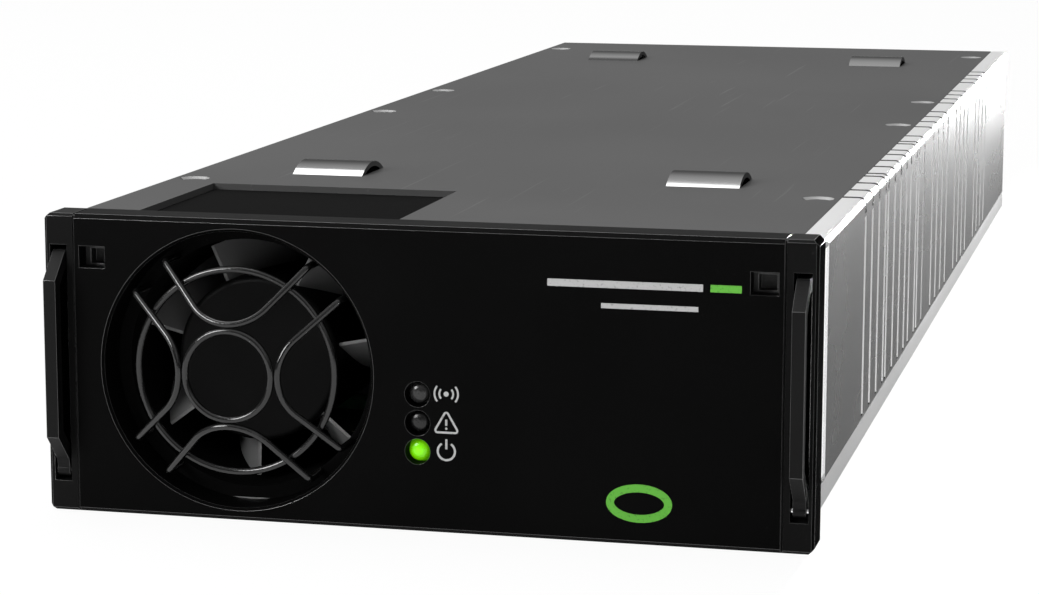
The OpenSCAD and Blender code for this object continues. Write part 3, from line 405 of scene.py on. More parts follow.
# %% One finish for each slot
lens_radius = size_of("light_pipe_low").x / 2
finishes = {
    "black_plastic": moulded("moulded_black", 0.0025, level=0.02),
    "handle_plastic": moulded("handle_black", 0.005, 2600, 0.4, level=0.12),
    "latch_plastic": moulded("latch_grey", 0.05, 2600, 0.4, level=0.3),
    "bulkhead_black": moulded("bulkhead_black", 0.004, 1600, 0.7, level=0.02),
    "inner_steel": plated("zinc_plate", 0.5, 0.4),
    "bare_steel": rolled("wall_steel", 0.62, 0.27, spread=0.03, edge=0.07),
    "dark_cover": painted("cover_paint", 0.08, 0.45, level=0.03),
    "wire_steel": moulded("guard_wire", 0.006, 2600, 0.13, level=0.6),
    "fan_black": moulded("fan_frame_black", 0.004, 1800, 0.8, level=0.02),
    # The blades are a paler grey than the hub; the difference is painted light and shade.
    "fan_grey": moulded("fan_blade_grey", 0.16, 1800, 0.4, level=0.2),
    "polished_steel": rolled("bright_steel", 0.9, 0.12, (1, 1, 1), spread=0.02),
    "copper": wound("copper_wire", (0.55, 0.2, 0.06)),
    "brass": rolled("contact_brass", 0.62, 0.25, (1, 0.05, 1), 0.35),
    "circuit_board": board_green("solder_mask"),
    "pale_plastic": tinted("natural_plastic", (0.7, 0.66, 0.55)),
    "lamp_green": glowing("lamp_lit", lamp_places[0], lens_radius * 0.8, (0.16, 0.62, 0.0)),
    "lamp_dark": tinted("lamp_smoke", (0.004, 0.004, 0.004), 0.25),
    "lamp_grey": tinted("lamp_clear", (0.02, 0.02, 0.02), 0.2),
    "capacitor_sleeve": tinted("sleeve_blue", (0.01, 0.014, 0.035), 0.3),
    "yellow_plastic": tinted("tape_yellow", (0.7, 0.42, 0.05)),
    "blue_plastic": tinted("relay_blue", (0.02, 0.06, 0.25)),
    "ceramic": tinted("fuse_ceramic", (0.8, 0.8, 0.76), 0.3),
    "package_black": moulded("package_black", 0.02, 3000, 0.55),
    "aluminium": rolled("extruded_aluminium", 0.72, 0.35, (1, 0.02, 1)),
    "ferrite": moulded("ferrite", 0.03, 1500, 0.6, 0.03 * MM),
    "connector_plastic": moulded("connector_black", 0.018, 2400, 0.45),
}
print("finishes:", len(finishes))

# %% [markdown]
# ### Finishes for parts of a piece
# Some pieces don't look the same all over. The wall's flange and flutes are
# painted paler, as painted highlights, the arches of the cover are bare steel,
# the slope of each dimple that looks to the front is painted pale, as a painted
# highlight, moulded edges are paler, partly as wear and partly as a painted
# highlight, and the panel's ears and outer sides differ from its face. The fan's
# hub is painted darker than its blades, as painted shade, and a matt black is
# painted shade on the wall's cut faces. The tray is the duller side of the steel.
# Each of these is one of the finishes above with other numbers, so no new kind
# of shader is needed.

# %% Extra finishes
# The flange: painted pale and partly matt, a painted highlight.
flange_steel = rolled("flange_steel", 0.9, 0.3, spread=0.03, metallic=0.4)
arch_steel = rolled("arch_steel", 0.42, 0.12, (1, 1, 1), spread=0.02, edge=0.3)
tray_steel = rolled("tray_steel", 0.55, 0.42, spread=0.03, edge=0.26)
# The flutes: painted paler, as painted highlights.
flute_steel = rolled("flute_steel", 0.75, 0.3, spread=0.03, edge=0.3)
# A dimple's front slope, painted pale as a painted highlight.
rubbed_paint = painted("rubbed_paint", 0.3, 0.3, level=0.3)
# The fan's hub: the wheel's plastic painted darker, as painted shade.
hub_black = moulded("hub_black", 0.003, 1800, 0.45, level=0.06)
ear_black = moulded("ear_black", 0.005, level=0.05)
# Matt black for the panel's outer sides, and painted shade on the wall's cut faces and ledges.
matt_black = moulded("matt_black", 0.004, 1400, 0.9, level=0.0)
# Paler colour of the rounded edges: part wear, part painted highlight.
worn_edge = moulded("worn_edge", 0.04, 2600, 0.3, level=1.0)
print("materials in all:", len(bpy.data.materials))

# %% [markdown]
# ## Dress the solids
# Most pieces of the real module are bought or stamped parts with one plain
# finish. Their solids could be copied, but there is no need: a solid keeps its
# mesh, and only its material slots change. It is loose triangles, so curved
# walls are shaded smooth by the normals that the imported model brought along.

# %% Give every solid its finish
for entry in frame["record"]["subparts"]:
    solid = frame["nodes"][entry["node"]]
    solid.data.materials.clear()
    solid.data.materials.append(finishes[entry["material_slot"]])
frame["nodes"]["base_tray"].data.materials[0] = tray_steel

# %% [markdown]
# ## Copies of solids
# A solid's mesh is loose triangles, which no bevel can round. So a piece that
# needs more than a finish is copied. The copy's doubled corners are merged, and
# flat areas are dissolved into whole faces. At the end a Weighted Normal modifier
# lets the large faces lead the shading, so that they stay flat to the eye.

# %% Merge, finish and level a copy
LARGE_FACES_LEAD = 100


def merged(node):
    mesh = bmesh.new()
    mesh.from_mesh(frame["nodes"][node].data)
    bmesh.ops.remove_doubles(mesh, verts=mesh.verts, dist=1e-6)
    bmesh.ops.dissolve_limit(mesh, angle_limit=radians(0.6), verts=mesh.verts, edges=mesh.edges)
    return mesh


def slot_of(node):
    return next(e["material_slot"] for e in frame["record"]["subparts"] if e["node"] == node)


def finish_piece(name, mesh, material, body=None, smooth=None):
    """Make an object of a bmesh. Edges sharper than `smooth` degrees stay sharp."""
    bmesh.ops.remove_doubles(mesh, verts=mesh.verts, dist=1e-7)
    bmesh.ops.recalc_face_normals(mesh, faces=mesh.faces)
    data = bpy.data.meshes.new(name)
    mesh.to_mesh(data)
    mesh.free()
    data.materials.append(material)
    if smooth:
        data.shade_smooth()
        data.set_sharp_from_angle(angle=radians(smooth))
    piece = bpy.data.objects.new(name, data)
    bpy.context.scene.collection.objects.link(piece)
    if body:
        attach(piece, body)
    return piece


def level_normals(piece):
    level = piece.modifiers.new("level", "WEIGHTED_NORMAL")
    level.keep_sharp, level.weight = True, LARGE_FACES_LEAD
    plain(piece)


print("copies ready")

# %% [markdown]
# ## Softer edges
# A moulded edge is never sharp: a thin round catches the light as a bright line,
# and wear turns it pale. Its paler colour is also a painted highlight. The rounds
# could be built into the solids, but they matter to the eye alone, and a Bevel
# modifier makes them in one step. It rounds every edge that is sharper than 40
# degrees and gives the round its own paler finish: part wear, part painted highlight.
# The copy replaces its solid on the same body, so it moves as the solid did.

# %% Copies with rounded edges
SHARP_EDGE = radians(40)
# The rounds' finish slot: paler, part wear and part painted highlight.
EDGE_WEAR_AND_HIGHLIGHT = 1


def softened(name, node, width, body="module"):
    slot = slot_of(node)
    piece = finish_piece(name, merged(node), finishes[slot])
    piece.data.materials.append(worn_edge)
    edge = piece.modifiers.new("edge", "BEVEL")
    edge.width, edge.segments, edge.material = width, 3, EDGE_WEAR_AND_HIGHLIGHT
    edge.limit_method, edge.angle_limit = "ANGLE", SHARP_EDGE
    edge.use_clamp_overlap = True
    plain(piece)
    piece.data.shade_smooth()
    piece.data.set_sharp_from_angle(angle=SHARP_EDGE)
    level_normals(piece)
    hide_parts(node)
    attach(piece, body)
    return piece


panel = softened("panel_moulding", "front_panel", 0.22 * MM)
for side in ("left", "right"):
    softened(side + "_handle_moulding", side + "_handle", 0.2 * MM, side + "_handle")
    softened(side + "_latch_moulding", side + "_latch", 0.12 * MM, side + "_latch")
softened("plug_moulding", "rear_connector", 0.25 * MM)

# %% [markdown]
# The panel's face, its ears and its outer sides catch the light in three ways.
# They could be three pieces, but the real panel is one moulding without a gap.
# So a face takes its finish by where it lies: beyond the seam it belongs to an
# ear, and if it also looks sideways it is an outer side.

# %% Ears and outer sides of the panel
EAR, OUTER_SIDE = 2, 3
SIDEWAYS = 0.7
for finish in (ear_black, matt_black):
    panel.data.materials.append(finish)
for face in panel.data.polygons:
    if face.material_index != EDGE_WEAR_AND_HIGHLIGHT and abs(face.center.x) > seam_x:
        face.material_index = OUTER_SIDE if abs(face.normal.x) > SIDEWAYS else EAR
print("faces beyond the seams:", sum(1 for face in panel.data.polygons if face.material_index >= EAR))

# %% [markdown]
# ## Several finishes on one sheet
# The cover is painted, but the four arches pressed out of it stay bare and shine.
# The right wall's top flange is painted pale and partly matt, as a painted
# highlight, so it is brighter than the wall below. The flutes are painted paler
# as painted highlights, and the cut faces of the slots are painted matt black as
# shade. Each of these is one sheet of metal. A copy could be cut up into pieces,
# but a seam would show, so a face takes its finish by where it lies and which way
# it looks.


# %% A copy with a finish chosen for each face
def several_finishes(name, node, others, choose):
    mesh = merged(node)
    for face in mesh.faces:
        face.material_index = choose(face.calc_center_median(), face.normal)
    slot = slot_of(node)
    piece = finish_piece(name, mesh, finishes[slot], smooth=12)
    for finish in others:
        piece.data.materials.append(finish)
    level_normals(piece)
    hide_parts(node)
    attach(piece, "module")
    counts = [0] * (len(others) + 1)
    for face in piece.data.polygons:
        counts[face.material_index] += 1
    print(name, "faces by finish:", counts)


print("ready to choose")

# %% [markdown]
# An arch stands above the cover's flat sheet, which picks it out. A dimple is
# pressed down, and its slope that looks to the front is painted pale, as a painted
# highlight. On the wall the flange looks up, a flute lies a hair behind the wall's
# plane, and a cut face looks along the case. The ledges below the flange look up
# too, and take painted shade. The way a face looks is its normal, whose parts
# run from -1 to 1: a Z above 0.5 looks mostly up.

# %% Cover and right wall
sheet_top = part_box("top_cover")[1].z - 1.6 * MM
arch_foot = sheet_top + 0.12 * MM
dimple_floor = sheet_top - 0.6 * MM
flange_foot = sheet_top - 2 * MM
wall_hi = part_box("right_side_wall")[1]
wall_plane = wall_hi.x - 0.005 * MM
slots_start, slots_end = 20 * MM, wall_hi.y - 5 * MM


def cover_finish(place, way):
    """0 is paint, 1 is an arch, and 2 is a dimple's slope that looks to the front, painted pale as a highlight."""
    if place.z > arch_foot:
        return 1
    # A dimple's slope that looks to the front gets a painted highlight.
    painted_highlight_slope = 0.1 < way.z < 0.97 and way.y < -0.1 and place.z > dimple_floor
    return 2 if painted_highlight_slope else 0


def wall_finish(place, way):
    """0 is wall, 1 the flange with a painted highlight, 2 the slots' cut faces and the ledges below the flange,
    painted black as shade, and 3 the flutes with painted highlights.
    """
    # Faces that look up: the flange takes a painted highlight, the ledges below it painted shade.
    if way.z > 0.5:
        return 1 if place.z > flange_foot else 2
    if way.x > 0.5 and place.x < wall_plane:
        return 3
    return 2 if slots_start < place.y < slots_end and abs(way.y) > 0.9 else 0


several_finishes("cover_sheet", "top_cover", (arch_steel, rubbed_paint), cover_finish)
wall_finishes = (flange_steel, matt_black, flute_steel)
several_finishes("right_wall_sheet", "right_side_wall", wall_finishes, wall_finish)

# %% [markdown]
# ## Bright lips
# The bulkhead behind the panel is folded back over each wall's front edge. This
# narrow lip is polished by the shelf's walls each time that the module goes in.
# It could be a bevelled box, but it is only a third of a millimetre thick. Five
# points drawn once and stretched upwards give it its rounded front and its
# tapered rear.


# %% Bright lips beside the panel
def lip(side):
    low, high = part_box(side + "_side_wall")
    out = 1 if side == "right" else -1
    face = high.x if side == "right" else low.x
    start, end = panel_hi.y + 0.3 * MM, panel_hi.y + 5.2 * MM
    foot, head = low.z + 3.6 * MM, high.z - 0.8 * MM
    thick, round_off, taper = 0.32 * MM, 0.9 * MM, 0.3 * MM
    outline = [(0, start), (thick * 0.6, start), (thick, start + round_off)]
    outline += [(thick, end - taper), (0, end)]
    mesh = bmesh.new()
    rows = [[mesh.verts.new((face + out * x, y, z)) for x, y in outline] for z in (foot, head)]
    for row in rows:
        mesh.faces.new(row)
    for i in range(len(outline)):
        mesh.faces.new((rows[0][i - 1], rows[0][i], rows[1][i], rows[1][i - 1]))
    finish_piece(side + "_lip", mesh, finishes["polished_steel"], "module", smooth=50)


for side in ("left", "right"):
    lip(side)
print("lips done")

# %% [markdown]
# ## Turned parts
# A turned part is a profile carried round an axis, and the fan's hub is one. The
# profile is a list of radius and depth. A Screw modifier could carry it round,
# but a loop over the angles is as short, and it puts the axis where the fan is.
# A rounded corner in the profile is part of a circle.


# %% Turned profile
def turned(profile, axis, sides=96):
    mesh = bmesh.new()
    rings = []
    for i in range(sides):
        a = 2 * pi * i / sides
        rings.append([mesh.verts.new((axis.x + r * cos(a), y, axis.z + r * sin(a))) for r, y in profile])
    for i in range(sides):
        for j in range(len(profile)):
            mesh.faces.new((rings[i - 1][j - 1], rings[i - 1][j], rings[i][j], rings[i][j - 1]))
    bmesh.ops.remove_doubles(mesh, verts=mesh.verts, dist=1e-7)
    bmesh.ops.dissolve_degenerate(mesh, edges=mesh.edges, dist=1e-7)
    bmesh.ops.recalc_face_normals(mesh, faces=mesh.faces)
    return mesh


def arc(x, y, radius, start, end, steps=24):
    """Points along part of a circle, from one angle in degrees to another."""
    angles = [radians(start + (end - start) * i / steps) for i in range(steps + 1)]
    return [(x + radius * cos(a), y + radius * sin(a)) for a in angles]


print("turning ready")

# %% [markdown]
# ## The fan's hub
# The hub is a cup that holds the magnet, with a boss inside for the shaft. Its
# profile starts on the axis at the front, rounds the edge, runs back along the
# rim and returns inside the cup to the boss. The radii come from the magnet and
# the shaft, so the hub keeps fitting them when a size changes.

# %% Hub
wheel_lo, wheel_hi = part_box("fan_impeller")
front, back = wheel_lo.y, wheel_hi.y
tip_r = (wheel_hi - wheel_lo).z / 2
shaft_r = size_of("fan_shaft").x / 2
hub_wall, round_off, boss_wall, boss_length = 1.2 * MM, 0.9 * MM, 1.2 * MM, 2.2 * MM
hub_r = size_of("fan_magnet").x / 2 + hub_wall
cup_r, boss_r = hub_r - hub_wall, shaft_r + boss_wall
inside, flat_r = front + hub_wall, hub_r - 1.0 * MM
profile = [(0, front), (flat_r, front)]
profile += arc(hub_r - round_off, front + round_off, round_off, -90, 0, 6)
profile += [(hub_r, back), (cup_r, back), (cup_r, inside), (boss_r, inside)]
profile += [(boss_r, inside + boss_length), (shaft_r, inside + boss_length), (shaft_r, inside), (0, inside)]
hub = turned(profile, fan_axis)
hub_data = bpy.data.meshes.new("fan_hub")
hub.to_mesh(hub_data)
hub.free()
hub_data.materials.append(finishes["fan_grey"])
print("hub radius %.2f mm, tip radius %.2f mm" % (hub_r / MM, tip_r / MM))

# %% [markdown]
# ## The fan's blades
# The blades follow a rule: they are equal, evenly spaced round the hub, and each
# is a sheet that winds round the axis as it goes back. A blade could be drawn
# point by point, but a formula keeps its sizes in view. It moves a block of
# points: the way out along X becomes the radius, and the way back along Y also
# turns the point about the axis. Sweep says how far the blade winds, and Camber
# bows it. It is thickest half way back.

# %% One blade
shape = Shape("fan_wheel", Blades=7, Root=hub_r - 0.3 * MM, Tip=tip_r - 0.05 * MM, Front=front + 1.5 * MM,
              Length=back - front - 2.5 * MM, Sweep=-0.55, Camber=-0.16, Thickness=1.1 * MM, Rest=radians(47))
size = shape.given
grid = {"Size": (1, 1, 1), "Vertices X": 8, "Vertices Y": 16, "Vertices Z": 2}
block = shape.node("GeometryNodeMeshCube", None, grid)
place = shape.node("GeometryNodeInputPosition")
outward, backward, across = shape.node("ShaderNodeSeparateXYZ", None, {0: place}, out=(0, 1, 2))
outward, backward = outward + 0.5, backward + 0.5
radius = size["Root"] + outward * (size["Tip"] - size["Root"])
from_half = backward - 0.5
thickness = size["Thickness"] * (1 - from_half * from_half * 2.4)
bow = size["Camber"] * (backward * (1 - backward))
turn = size["Sweep"] * from_half + bow + across * thickness / radius
bent = shape.node("ShaderNodeCombineXYZ", None, {
    0: radius * turn.math("COSINE", turn),
    1: size["Front"] + backward * size["Length"],
    2: radius * turn.math("SINE", turn)})
blade = shape.node("GeometryNodeSetPosition", None, {"Geometry": block, "Position": bent})
print("sizes of the wheel:", len(shape.values))

# %% [markdown]
# Instances repeat the blade: one point for each, all on the axis, and each turned
# by its share of the circle. The hub is the mesh that the tree is given, and the
# tree joins the blades to it. The wheel is one moulding, so it is one piece. Its
# hub's faces get a much darker finish than its blades: painted shade on one plastic.

# %% Blades round the hub
points = shape.node("GeometryNodePoints", None, {"Count": size["Blades"]})
index = shape.node("GeometryNodeInputIndex")
part_turn = index / size["Blades"] * (2 * pi)
about = shape.node("ShaderNodeCombineXYZ", None, {1: (part_turn + size["Rest"]) * -1})
spaced = {"Points": points, "Instance": blade, "Rotation": about}
blades = shape.node("GeometryNodeInstanceOnPoints", None, spaced)
on_axis = {"Geometry": blades, "Translation": (fan_axis.x, 0, fan_axis.z)}
moved = shape.node("GeometryNodeTransform", None, on_axis)
joined = shape.node("GeometryNodeJoinGeometry", None, {0: [moved, size["Geometry"]]})
wheel = shape.make("fan_wheel", joined, hub_data, finishes["fan_grey"])
wheel.data.shade_smooth()
wheel.data.set_sharp_from_angle(angle=radians(35))
wheel.data.materials.clear()
for finish in (finishes["fan_grey"], hub_black):
    wheel.data.materials.append(finish)
# The hub's faces take the darker finish, painted shade.
for face in wheel.data.polygons:
    away = hypot(face.center.x - fan_axis.x, face.center.z - fan_axis.z)
    face.material_index = int(away < hub_r + 0.05 * MM)
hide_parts("fan_impeller")
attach(wheel, "fan_rotor")
print("fan wheel:", len(wheel.data.polygons), "faces")

# %% [markdown]
# ## The wire guard
# The guard is bent wire: four rods and two rings, welded where they touch. Each
# rod has a bend near the fan's axis, two straight legs and two ends turned back
# to the bulkhead. The guard is a shallow dome: the bend lies nearest to the
# viewer, and the rod leans back from there. Two facts fix the lean: how far the
# guard stands out, and where the rod's ends lie. The rest of the sizes follow
# from the wire's radius, the bend's radius and the ring's radius.

# %% Sizes of the guard
WIRE = 0.5 * MM
guard_lo, guard_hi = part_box("fan_guard")
vertex_r, bend_r, large_r = 7.15 * MM, 6.8 * MM, 14.25 * MM
end_r, end_angle, end_depth = hub_r + 6.32 * MM, radians(34.9), 0.6 * MM
weld = 0.06 * MM
stand_out = FACE - guard_lo.y - WIRE
end_x, end_z = end_r * cos(end_angle), end_r * sin(end_angle)
drop = end_depth + stand_out
lean = atan2(drop, end_x - vertex_r)
reach = hypot(drop, end_x - vertex_r)
far = hypot(reach - bend_r, end_z)
half_bend = pi - acos(bend_r / far) - atan2(end_z, reach - bend_r)
print("the guard stands %.2f mm out and leans back %.3f rad" % (stand_out / MM, lean))

# %% [markdown]
# Wire is a circle swept along a path, and the four rods are one path turned by
# quarters, so one rod's path is enough. It could be drawn by hand as a curve,
# but the legs have to leave the bend without a kink, which the angle worked out
# above makes sure of. The path is drawn in the leaning plane: p runs down the
# lean, and q runs level with it.

# %% One rod's path
BEND_STEPS = 32


def on_rod(p, q):
    return Vector((vertex_r + p * cos(lean), FACE - stand_out + p * sin(lean), q))


bend = []
for i in range(BEND_STEPS + 1):
    a = pi - half_bend + 2 * half_bend * i / BEND_STEPS
    bend.append(on_rod(bend_r + bend_r * cos(a), bend_r * sin(a)))
end_y = guard_hi.y - 0.02 * MM
corners = [Vector((end_x, FACE + end_depth, s * end_z)) for s in (1, -1)]
ends = [Vector((c.x, end_y, c.z)) for c in corners]
path = [ends[0], corners[0]] + bend + [corners[1], ends[1]]
rod = bpy.data.meshes.new("rod_path")
rod.from_pydata(path, [(i, i + 1) for i in range(len(path) - 1)], [])
print("rod of", len(path), "points")

# %% [markdown]
# The large ring lies behind the legs and is welded to them. It has to touch all
# eight legs, so its depth is worked out and not guessed: first the point where a
# leg's own line passes over the ring's circle, from a quadratic, and then two
# wire radii back from there, measured square to both wires, less the weld.

# %% Depth of the large ring
leg = (corners[0] - bend[0]).normalized()
a = leg.x ** 2 + leg.z ** 2
b = 2 * (bend[0].x * leg.x + bend[0].z * leg.z)
c = bend[0].x ** 2 + bend[0].z ** 2 - large_r ** 2
over = bend[0] + leg * ((sqrt(b * b - 4 * a * c) - b) / (2 * a))
normal = Vector((-over.z, 0, over.x)).cross(leg) / large_r
large_y = over.y + (2 * WIRE - weld) * normal.length / abs(normal.y)
print("the large ring lies %.2f mm behind the face" % ((large_y - FACE) / MM))

# %% [markdown]
# The tree rounds the rod's two square corners, sweeps a circle along it and
# repeats it by quarters. The two rings are circles swept with the same wire.
# They could be torus meshes, but then the wire's radius would be set twice.
# A ring is made flat and turned upright.

# %% Sweep and repeat
shape = Shape("wire_guard", Rods=4, Wire_radius=WIRE, Corner=0.9 * MM, Large_ring=large_r,
              Small_ring=vertex_r - 2 * WIRE + weld, Large_depth=large_y, Small_depth=FACE - stand_out)
size = shape.given
circle = {"Resolution": 16, "Radius": size["Wire_radius"]}
section = shape.node("GeometryNodeCurvePrimitiveCircle", None, circle)
line = shape.node("GeometryNodeMeshToCurve", None, {"Mesh": size["Geometry"]})
rounding = {"Curve": line, "Count": 5, "Radius": size["Corner"]}
line = shape.node("GeometryNodeFilletCurve", {"mode": "POLY"}, rounding)


def swept(curve):
    inputs = {"Curve": curve, "Profile Curve": section, "Fill Caps": True}
    return shape.node("GeometryNodeCurveToMesh", None, inputs)


points = shape.node("GeometryNodePoints", None, {"Count": size["Rods"]})
index = shape.node("GeometryNodeInputIndex")
about = shape.node("ShaderNodeCombineXYZ", None, {1: index / size["Rods"] * (2 * pi)})
spaced = {"Points": points, "Instance": swept(line), "Rotation": about}
parts = [shape.node("GeometryNodeInstanceOnPoints", None, spaced)]
for key in ("Large", "Small"):
    circle = {"Resolution": 96, "Radius": size[key + "_ring"]}
    hoop = swept(shape.node("GeometryNodeCurvePrimitiveCircle", None, circle))
    depth = shape.node("ShaderNodeCombineXYZ", None, {1: size[key + "_depth"]})
    upright = {"Geometry": hoop, "Translation": depth, "Rotation": Euler((pi / 2, 0, 0))}
    parts.append(shape.node("GeometryNodeTransform", None, upright))
joined = shape.node("GeometryNodeJoinGeometry", None, {0: parts})
on_axis = {"Geometry": joined, "Translation": (fan_axis.x, 0, fan_axis.z)}
moved = shape.node("GeometryNodeTransform", None, on_axis)
guard = shape.make("wire_guard", moved, rod, finishes["wire_steel"])
guard.data.shade_smooth()
guard.data.set_sharp_from_angle(angle=radians(60))
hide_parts("fan_guard")
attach(guard, "module")
print("guard:", [round(v / MM, 2) for v in guard.dimensions])
print("solid:", [round(v / MM, 2) for v in guard_hi - guard_lo])

# %% [markdown]
# ## Printed marks
# Ink is a very thin layer on the panel. It could be a pattern in the panel's
# material, but a curved line is hard to write as a formula. Here each line is a
# flat ribbon of a few hundredths of a millimetre that stands on the face, so its
# edge is clean from any distance. A slight mottle in its tone is worn ink.

# %% Ribbons and discs of ink
INK = 0.03 * MM


def ribbon(mesh, points, width, closed=False):
    count = len(points)
    rows = []
    for i, p in enumerate(points):
        before = points[i - 1] if closed or i else points[0]
        after = points[(i + 1) % count] if closed or i < count - 1 else points[-1]
        way = (Vector(after) - Vector(before)).normalized()
        side = Vector((-way.y, way.x)) * width / 2
        corners = [Vector(p) + side, Vector(p) - side]
        rows.append([mesh.verts.new((c.x, y, c.y)) for y in (FACE - INK, FACE) for c in corners])
    steps = count if closed else count - 1
    for i in range(steps):
        a, b = rows[i], rows[(i + 1) % count]
        for j, k in ((0, 1), (1, 3), (3, 2), (2, 0)):
            mesh.faces.new((a[j], a[k], b[k], b[j]))
    if not closed:
        for row in (rows[0], rows[-1]):
            mesh.faces.new((row[0], row[1], row[3], row[2]))


def disc(mesh, x, z, radius, sides):
    circle = arc(x, z, radius, 0, 360, sides)[:-1]
    rings = [[mesh.verts.new((cx, y, cz)) for cx, cz in circle] for y in (FACE - INK, FACE)]
    for ring in rings:
        mesh.faces.new(ring)
    for i in range(sides):
        mesh.faces.new((rings[0][i], rings[0][i - 1], rings[1][i - 1], rings[1][i]))


def ink(name, tone):
    f = Finish(name, IOR=1.5)
    worn = f.between(f.noise(2600, 4), 0.3, 0.42)
    f.set("Base Color", f.mix(worn, share_of(tone, 0.55), share_of(tone)))
    f.set("Roughness", f.noise(400, 2) * 0.2 + 0.4)
    return f.material


ink_grey = ink("ink_grey", (0.42, 0.42, 0.42))
ink_green = ink("ink_green", (0.10, 0.42, 0.03))
print("ink ready")

# %% [markdown]
# Beside each lamp the panel carries a small sign that says what the lamp means:
# a dot between waves for the data link, a warning triangle, and a power sign.
# A font could hold such signs, but fonts differ from one computer to the next.
# Arcs and straight ribbons give lines of an even width and round corners.

# %% Pictograms beside the lamps
mark_x = lamp_places[0].x + 4.1 * MM
low, mid, top = (place.z + 0.25 * MM for place in lamp_places)
wave_line, frame_line, bold_line = 0.26 * MM, 0.28 * MM, 0.3 * MM
mesh = bmesh.new()
disc(mesh, mark_x, top, 0.36 * MM, 40)
for reach, spread in ((0.98, 42), (1.66, 40)):
    for side in (0, 180):
        ribbon(mesh, arc(mark_x, top, reach * MM, side - spread, side + spread), wave_line)
rounded = []
for i in range(3):
    turn = 90 + 120 * i
    corner = Vector((cos(radians(turn)), sin(radians(turn)))) * 1.45 * MM
    corner_z = mid - 0.35 * MM + corner.y
    rounded += arc(mark_x + corner.x, corner_z, 0.3 * MM, turn - 60, turn + 60, 8)
ribbon(mesh, rounded, frame_line, closed=True)
ribbon(mesh, [(mark_x, mid + 0.45 * MM), (mark_x, mid - 0.42 * MM)], bold_line)
disc(mesh, mark_x, mid - 0.82 * MM, 0.17 * MM, 16)
ribbon(mesh, arc(mark_x, low, 1.22 * MM, 122, 418, 40), bold_line)
ribbon(mesh, [(mark_x, low + 1.7 * MM), (mark_x, low + 0.3 * MM)], bold_line)
finish_piece("lamp_pictograms", mesh, ink_grey, "module")
print("pictograms at x = %.4f" % mark_x)

# %% [markdown]
# The panel has two more printed places. They carry plain generic shapes here: a
# few bars near the upper right corner and an open oval near the lower edge. They
# are ribbons too, so that all the ink is made in one way. The bars are placed in
# millimetres from the panel's right and upper edges.


# %% Plain bars and oval
def bar(mesh, start, end, down, thick):
    """A level bar between two distances from the panel's right edge."""
    ends = [(panel_hi.x - inward * MM, panel_hi.z - down * MM) for inward in (start, end)]
    ribbon(mesh, ends, thick * MM)


mesh = bmesh.new()
bar(mesh, 36.6, 15.4, down=6.9, thick=1.0)
bar(mesh, 29.2, 16.0, down=9.8, thick=0.7)
finish_piece("plain_bars", mesh, ink_grey, "module")
mesh = bmesh.new()
bar(mesh, 14.4, 10.2, down=6.9, thick=1.0)
oval_x, oval_z = panel_hi.x - 23.8 * MM, 5.8 * MM
half_width, half_height, steps = 4.0 * MM, 2.1 * MM, 60
angles = [2 * pi * i / steps for i in range(steps)]
oval = [(oval_x + half_width * cos(a), oval_z + half_height * sin(a)) for a in angles]
ribbon(mesh, oval, 1.1 * MM, closed=True)
finish_piece("plain_green_shapes", mesh, ink_green, "module")
print("plain shapes done")

# %% [markdown]
# ## Floor
# The floor is a pale sheet. A shadow needs a surface that scatters light, but a
# lit surface is never an even white. So the floor is mixed from both: what the
# camera and mirrors see is mostly a plain white glow, and the small rest is a
# real surface that keeps the object's shadow. The light that it scatters up to
# the object comes from the real surface alone.

# %% Floor
FLOOR_WHITE = 0.93
FLOOR_HALF = 4.0


def make_floor():
    f = Finish("floor_white", Roughness=0.9)
    f.shader.inputs["Base Color"].default_value = grey(0.8)
    kinds = ("Is Camera Ray", "Is Glossy Ray", "Is Transmission Ray")
    seen = sum(f.node("ShaderNodeLightPath", out=kinds))
    surface = Wire(f, f.shader.outputs[0])
    white = f.node("ShaderNodeEmission", None, {"Color": grey(1.0), "Strength": 1.0})
    both = f.node("ShaderNodeMixShader", None, {0: seen * FLOOR_WHITE, 1: surface, 2: white})
    f.tree.links.new(both.socket, f.output.inputs[0])
    mesh = bmesh.new()
    ground = cad_box[0].z
    signs = ((-1, -1), (1, -1), (1, 1), (-1, 1))
    mesh.faces.new([mesh.verts.new((x * FLOOR_HALF, y * FLOOR_HALF, ground)) for x, y in signs])
    floor = finish_piece("floor", mesh, f.material)


make_floor()
print("floor ready")

# %% [markdown]
# ## World
# Black plastic and bare steel show mostly what they mirror, so the surroundings
# matter as much as the lamps. A picture of a studio could surround the object,
# but a plain gradient is enough: bright overhead, dim near the horizon, and a
# little brighter behind the object than in front of it. The dim part is what
# leaves a black panel black.


# %% World
def make_world():
    world = bpy.data.worlds.new("studio")
    bpy.context.scene.world = world
    world.use_nodes = True
    g = Graph(world.node_tree)
    g.tree.nodes.clear()
    way = g.node("ShaderNodeTexCoord", out="Generated")
    behind, up = g.node("ShaderNodeSeparateXYZ", None, {0: way}, out=("Y", "Z"))
    height = behind * 0.2 + up * 0.9
    levels = {"Value": height, "From Min": -0.1, "From Max": 0.9, "To Min": 0.03, "To Max": 0.8}
    glow = g.node("ShaderNodeMapRange", {"interpolation_type": "SMOOTHSTEP"}, levels)
    background = g.node("ShaderNodeBackground", None, {"Color": grey(1.0), "Strength": glow})
    output = g.tree.nodes.new("ShaderNodeOutputWorld")
    g.tree.links.new(background.socket, output.inputs[0])


make_world()
print("world ready")

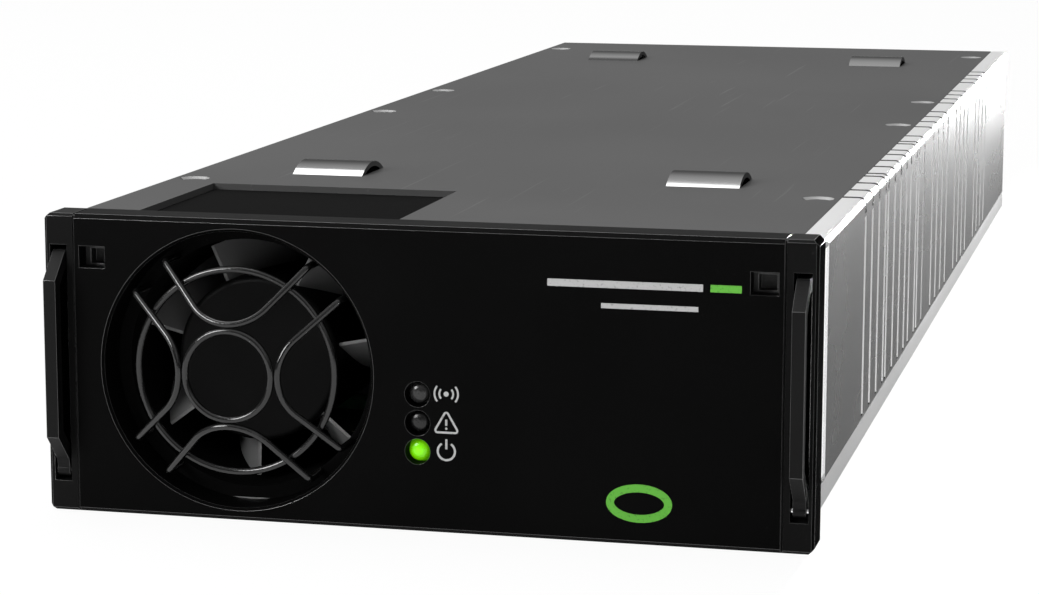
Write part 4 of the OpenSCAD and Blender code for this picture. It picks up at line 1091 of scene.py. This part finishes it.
# %% [markdown]
# ## Lamps
# A studio lights such an object with softboxes, which are rectangles of even
# light. A large one overhead lights the cover and the floor, and makes the white
# streak on the front slope of each arch. The long wall is seen at a slant, so it
# mirrors what lies low behind the object: a small, narrow lamp there gives the
# run from dark at the front to white at the rear. Its beam is held to 12
# degrees, so that little of it falls on the floor. Two weak boxes in front draw
# the edges of the handles, the guard and the blades.


# %% Softboxes
def softbox(name, place, target, width, height, power, spread=180):
    data = bpy.data.lights.new(name, "AREA")
    data.shape, data.size, data.size_y, data.energy = "RECTANGLE", width, height, power
    data.spread = radians(spread)
    lamp = bpy.data.objects.new(name, data)
    lamp.location = place
    lamp.rotation_euler = (Vector(target) - Vector(place)).to_track_quat("-Z", "Y").to_euler()
    bpy.context.scene.collection.objects.link(lamp)


softbox("top_box", place=(-0.5, 0.2, 1.2), target=(0, 0.05, 0), width=1.0, height=1.2, power=12)
softbox("low_rear_box", place=(0.11, 0.47, 0.022), target=(0.108, 0.1, 0.018),
        width=0.08, height=0.036, power=0.95, spread=12)
softbox("front_box", place=(0.7, -1.2, 0.5), target=(0.03, -0.1, 0.02), width=0.5, height=0.5, power=0.6)
softbox("left_front_box", place=(-0.3, -0.5, 0.24), target=(-0.05, 0, 0.03),
        width=0.2, height=0.2, power=1.8)
print("lamps:", len(bpy.data.lights))

# %% [markdown]
# ## Camera
# The camera stands in front, to the right and a little above, and looks along
# the case, so that the panel, the cover and the right wall are all in view. A
# camera could be aimed at a point, but two angles are easier to adjust one by
# one: its turn from straight ahead and its tilt down. A third one rolls it very
# slightly.

# %% Camera
camera_data = bpy.data.cameras.new("camera")
camera_data.lens, camera_data.sensor_width = 101.1, 36.0
camera = bpy.data.objects.new("camera", camera_data)
bpy.context.scene.collection.objects.link(camera)
bpy.context.scene.camera = camera
turn, tilt, roll = -0.2383, 0.1663, 0.0016
ahead = Vector((sin(turn) * cos(tilt), cos(turn) * cos(tilt), -sin(tilt)))
aim = ahead.to_track_quat("-Z", "Y").to_matrix()
camera.location = (105.56 * MM, -538.24 * MM, 98.39 * MM)
camera.rotation_euler = (aim @ Matrix.Rotation(roll, 3, "Z")).to_euler()
bpy.context.scene.view_settings.view_transform = "Standard"
print("camera at", tuple(round(v, 4) for v in camera.location))
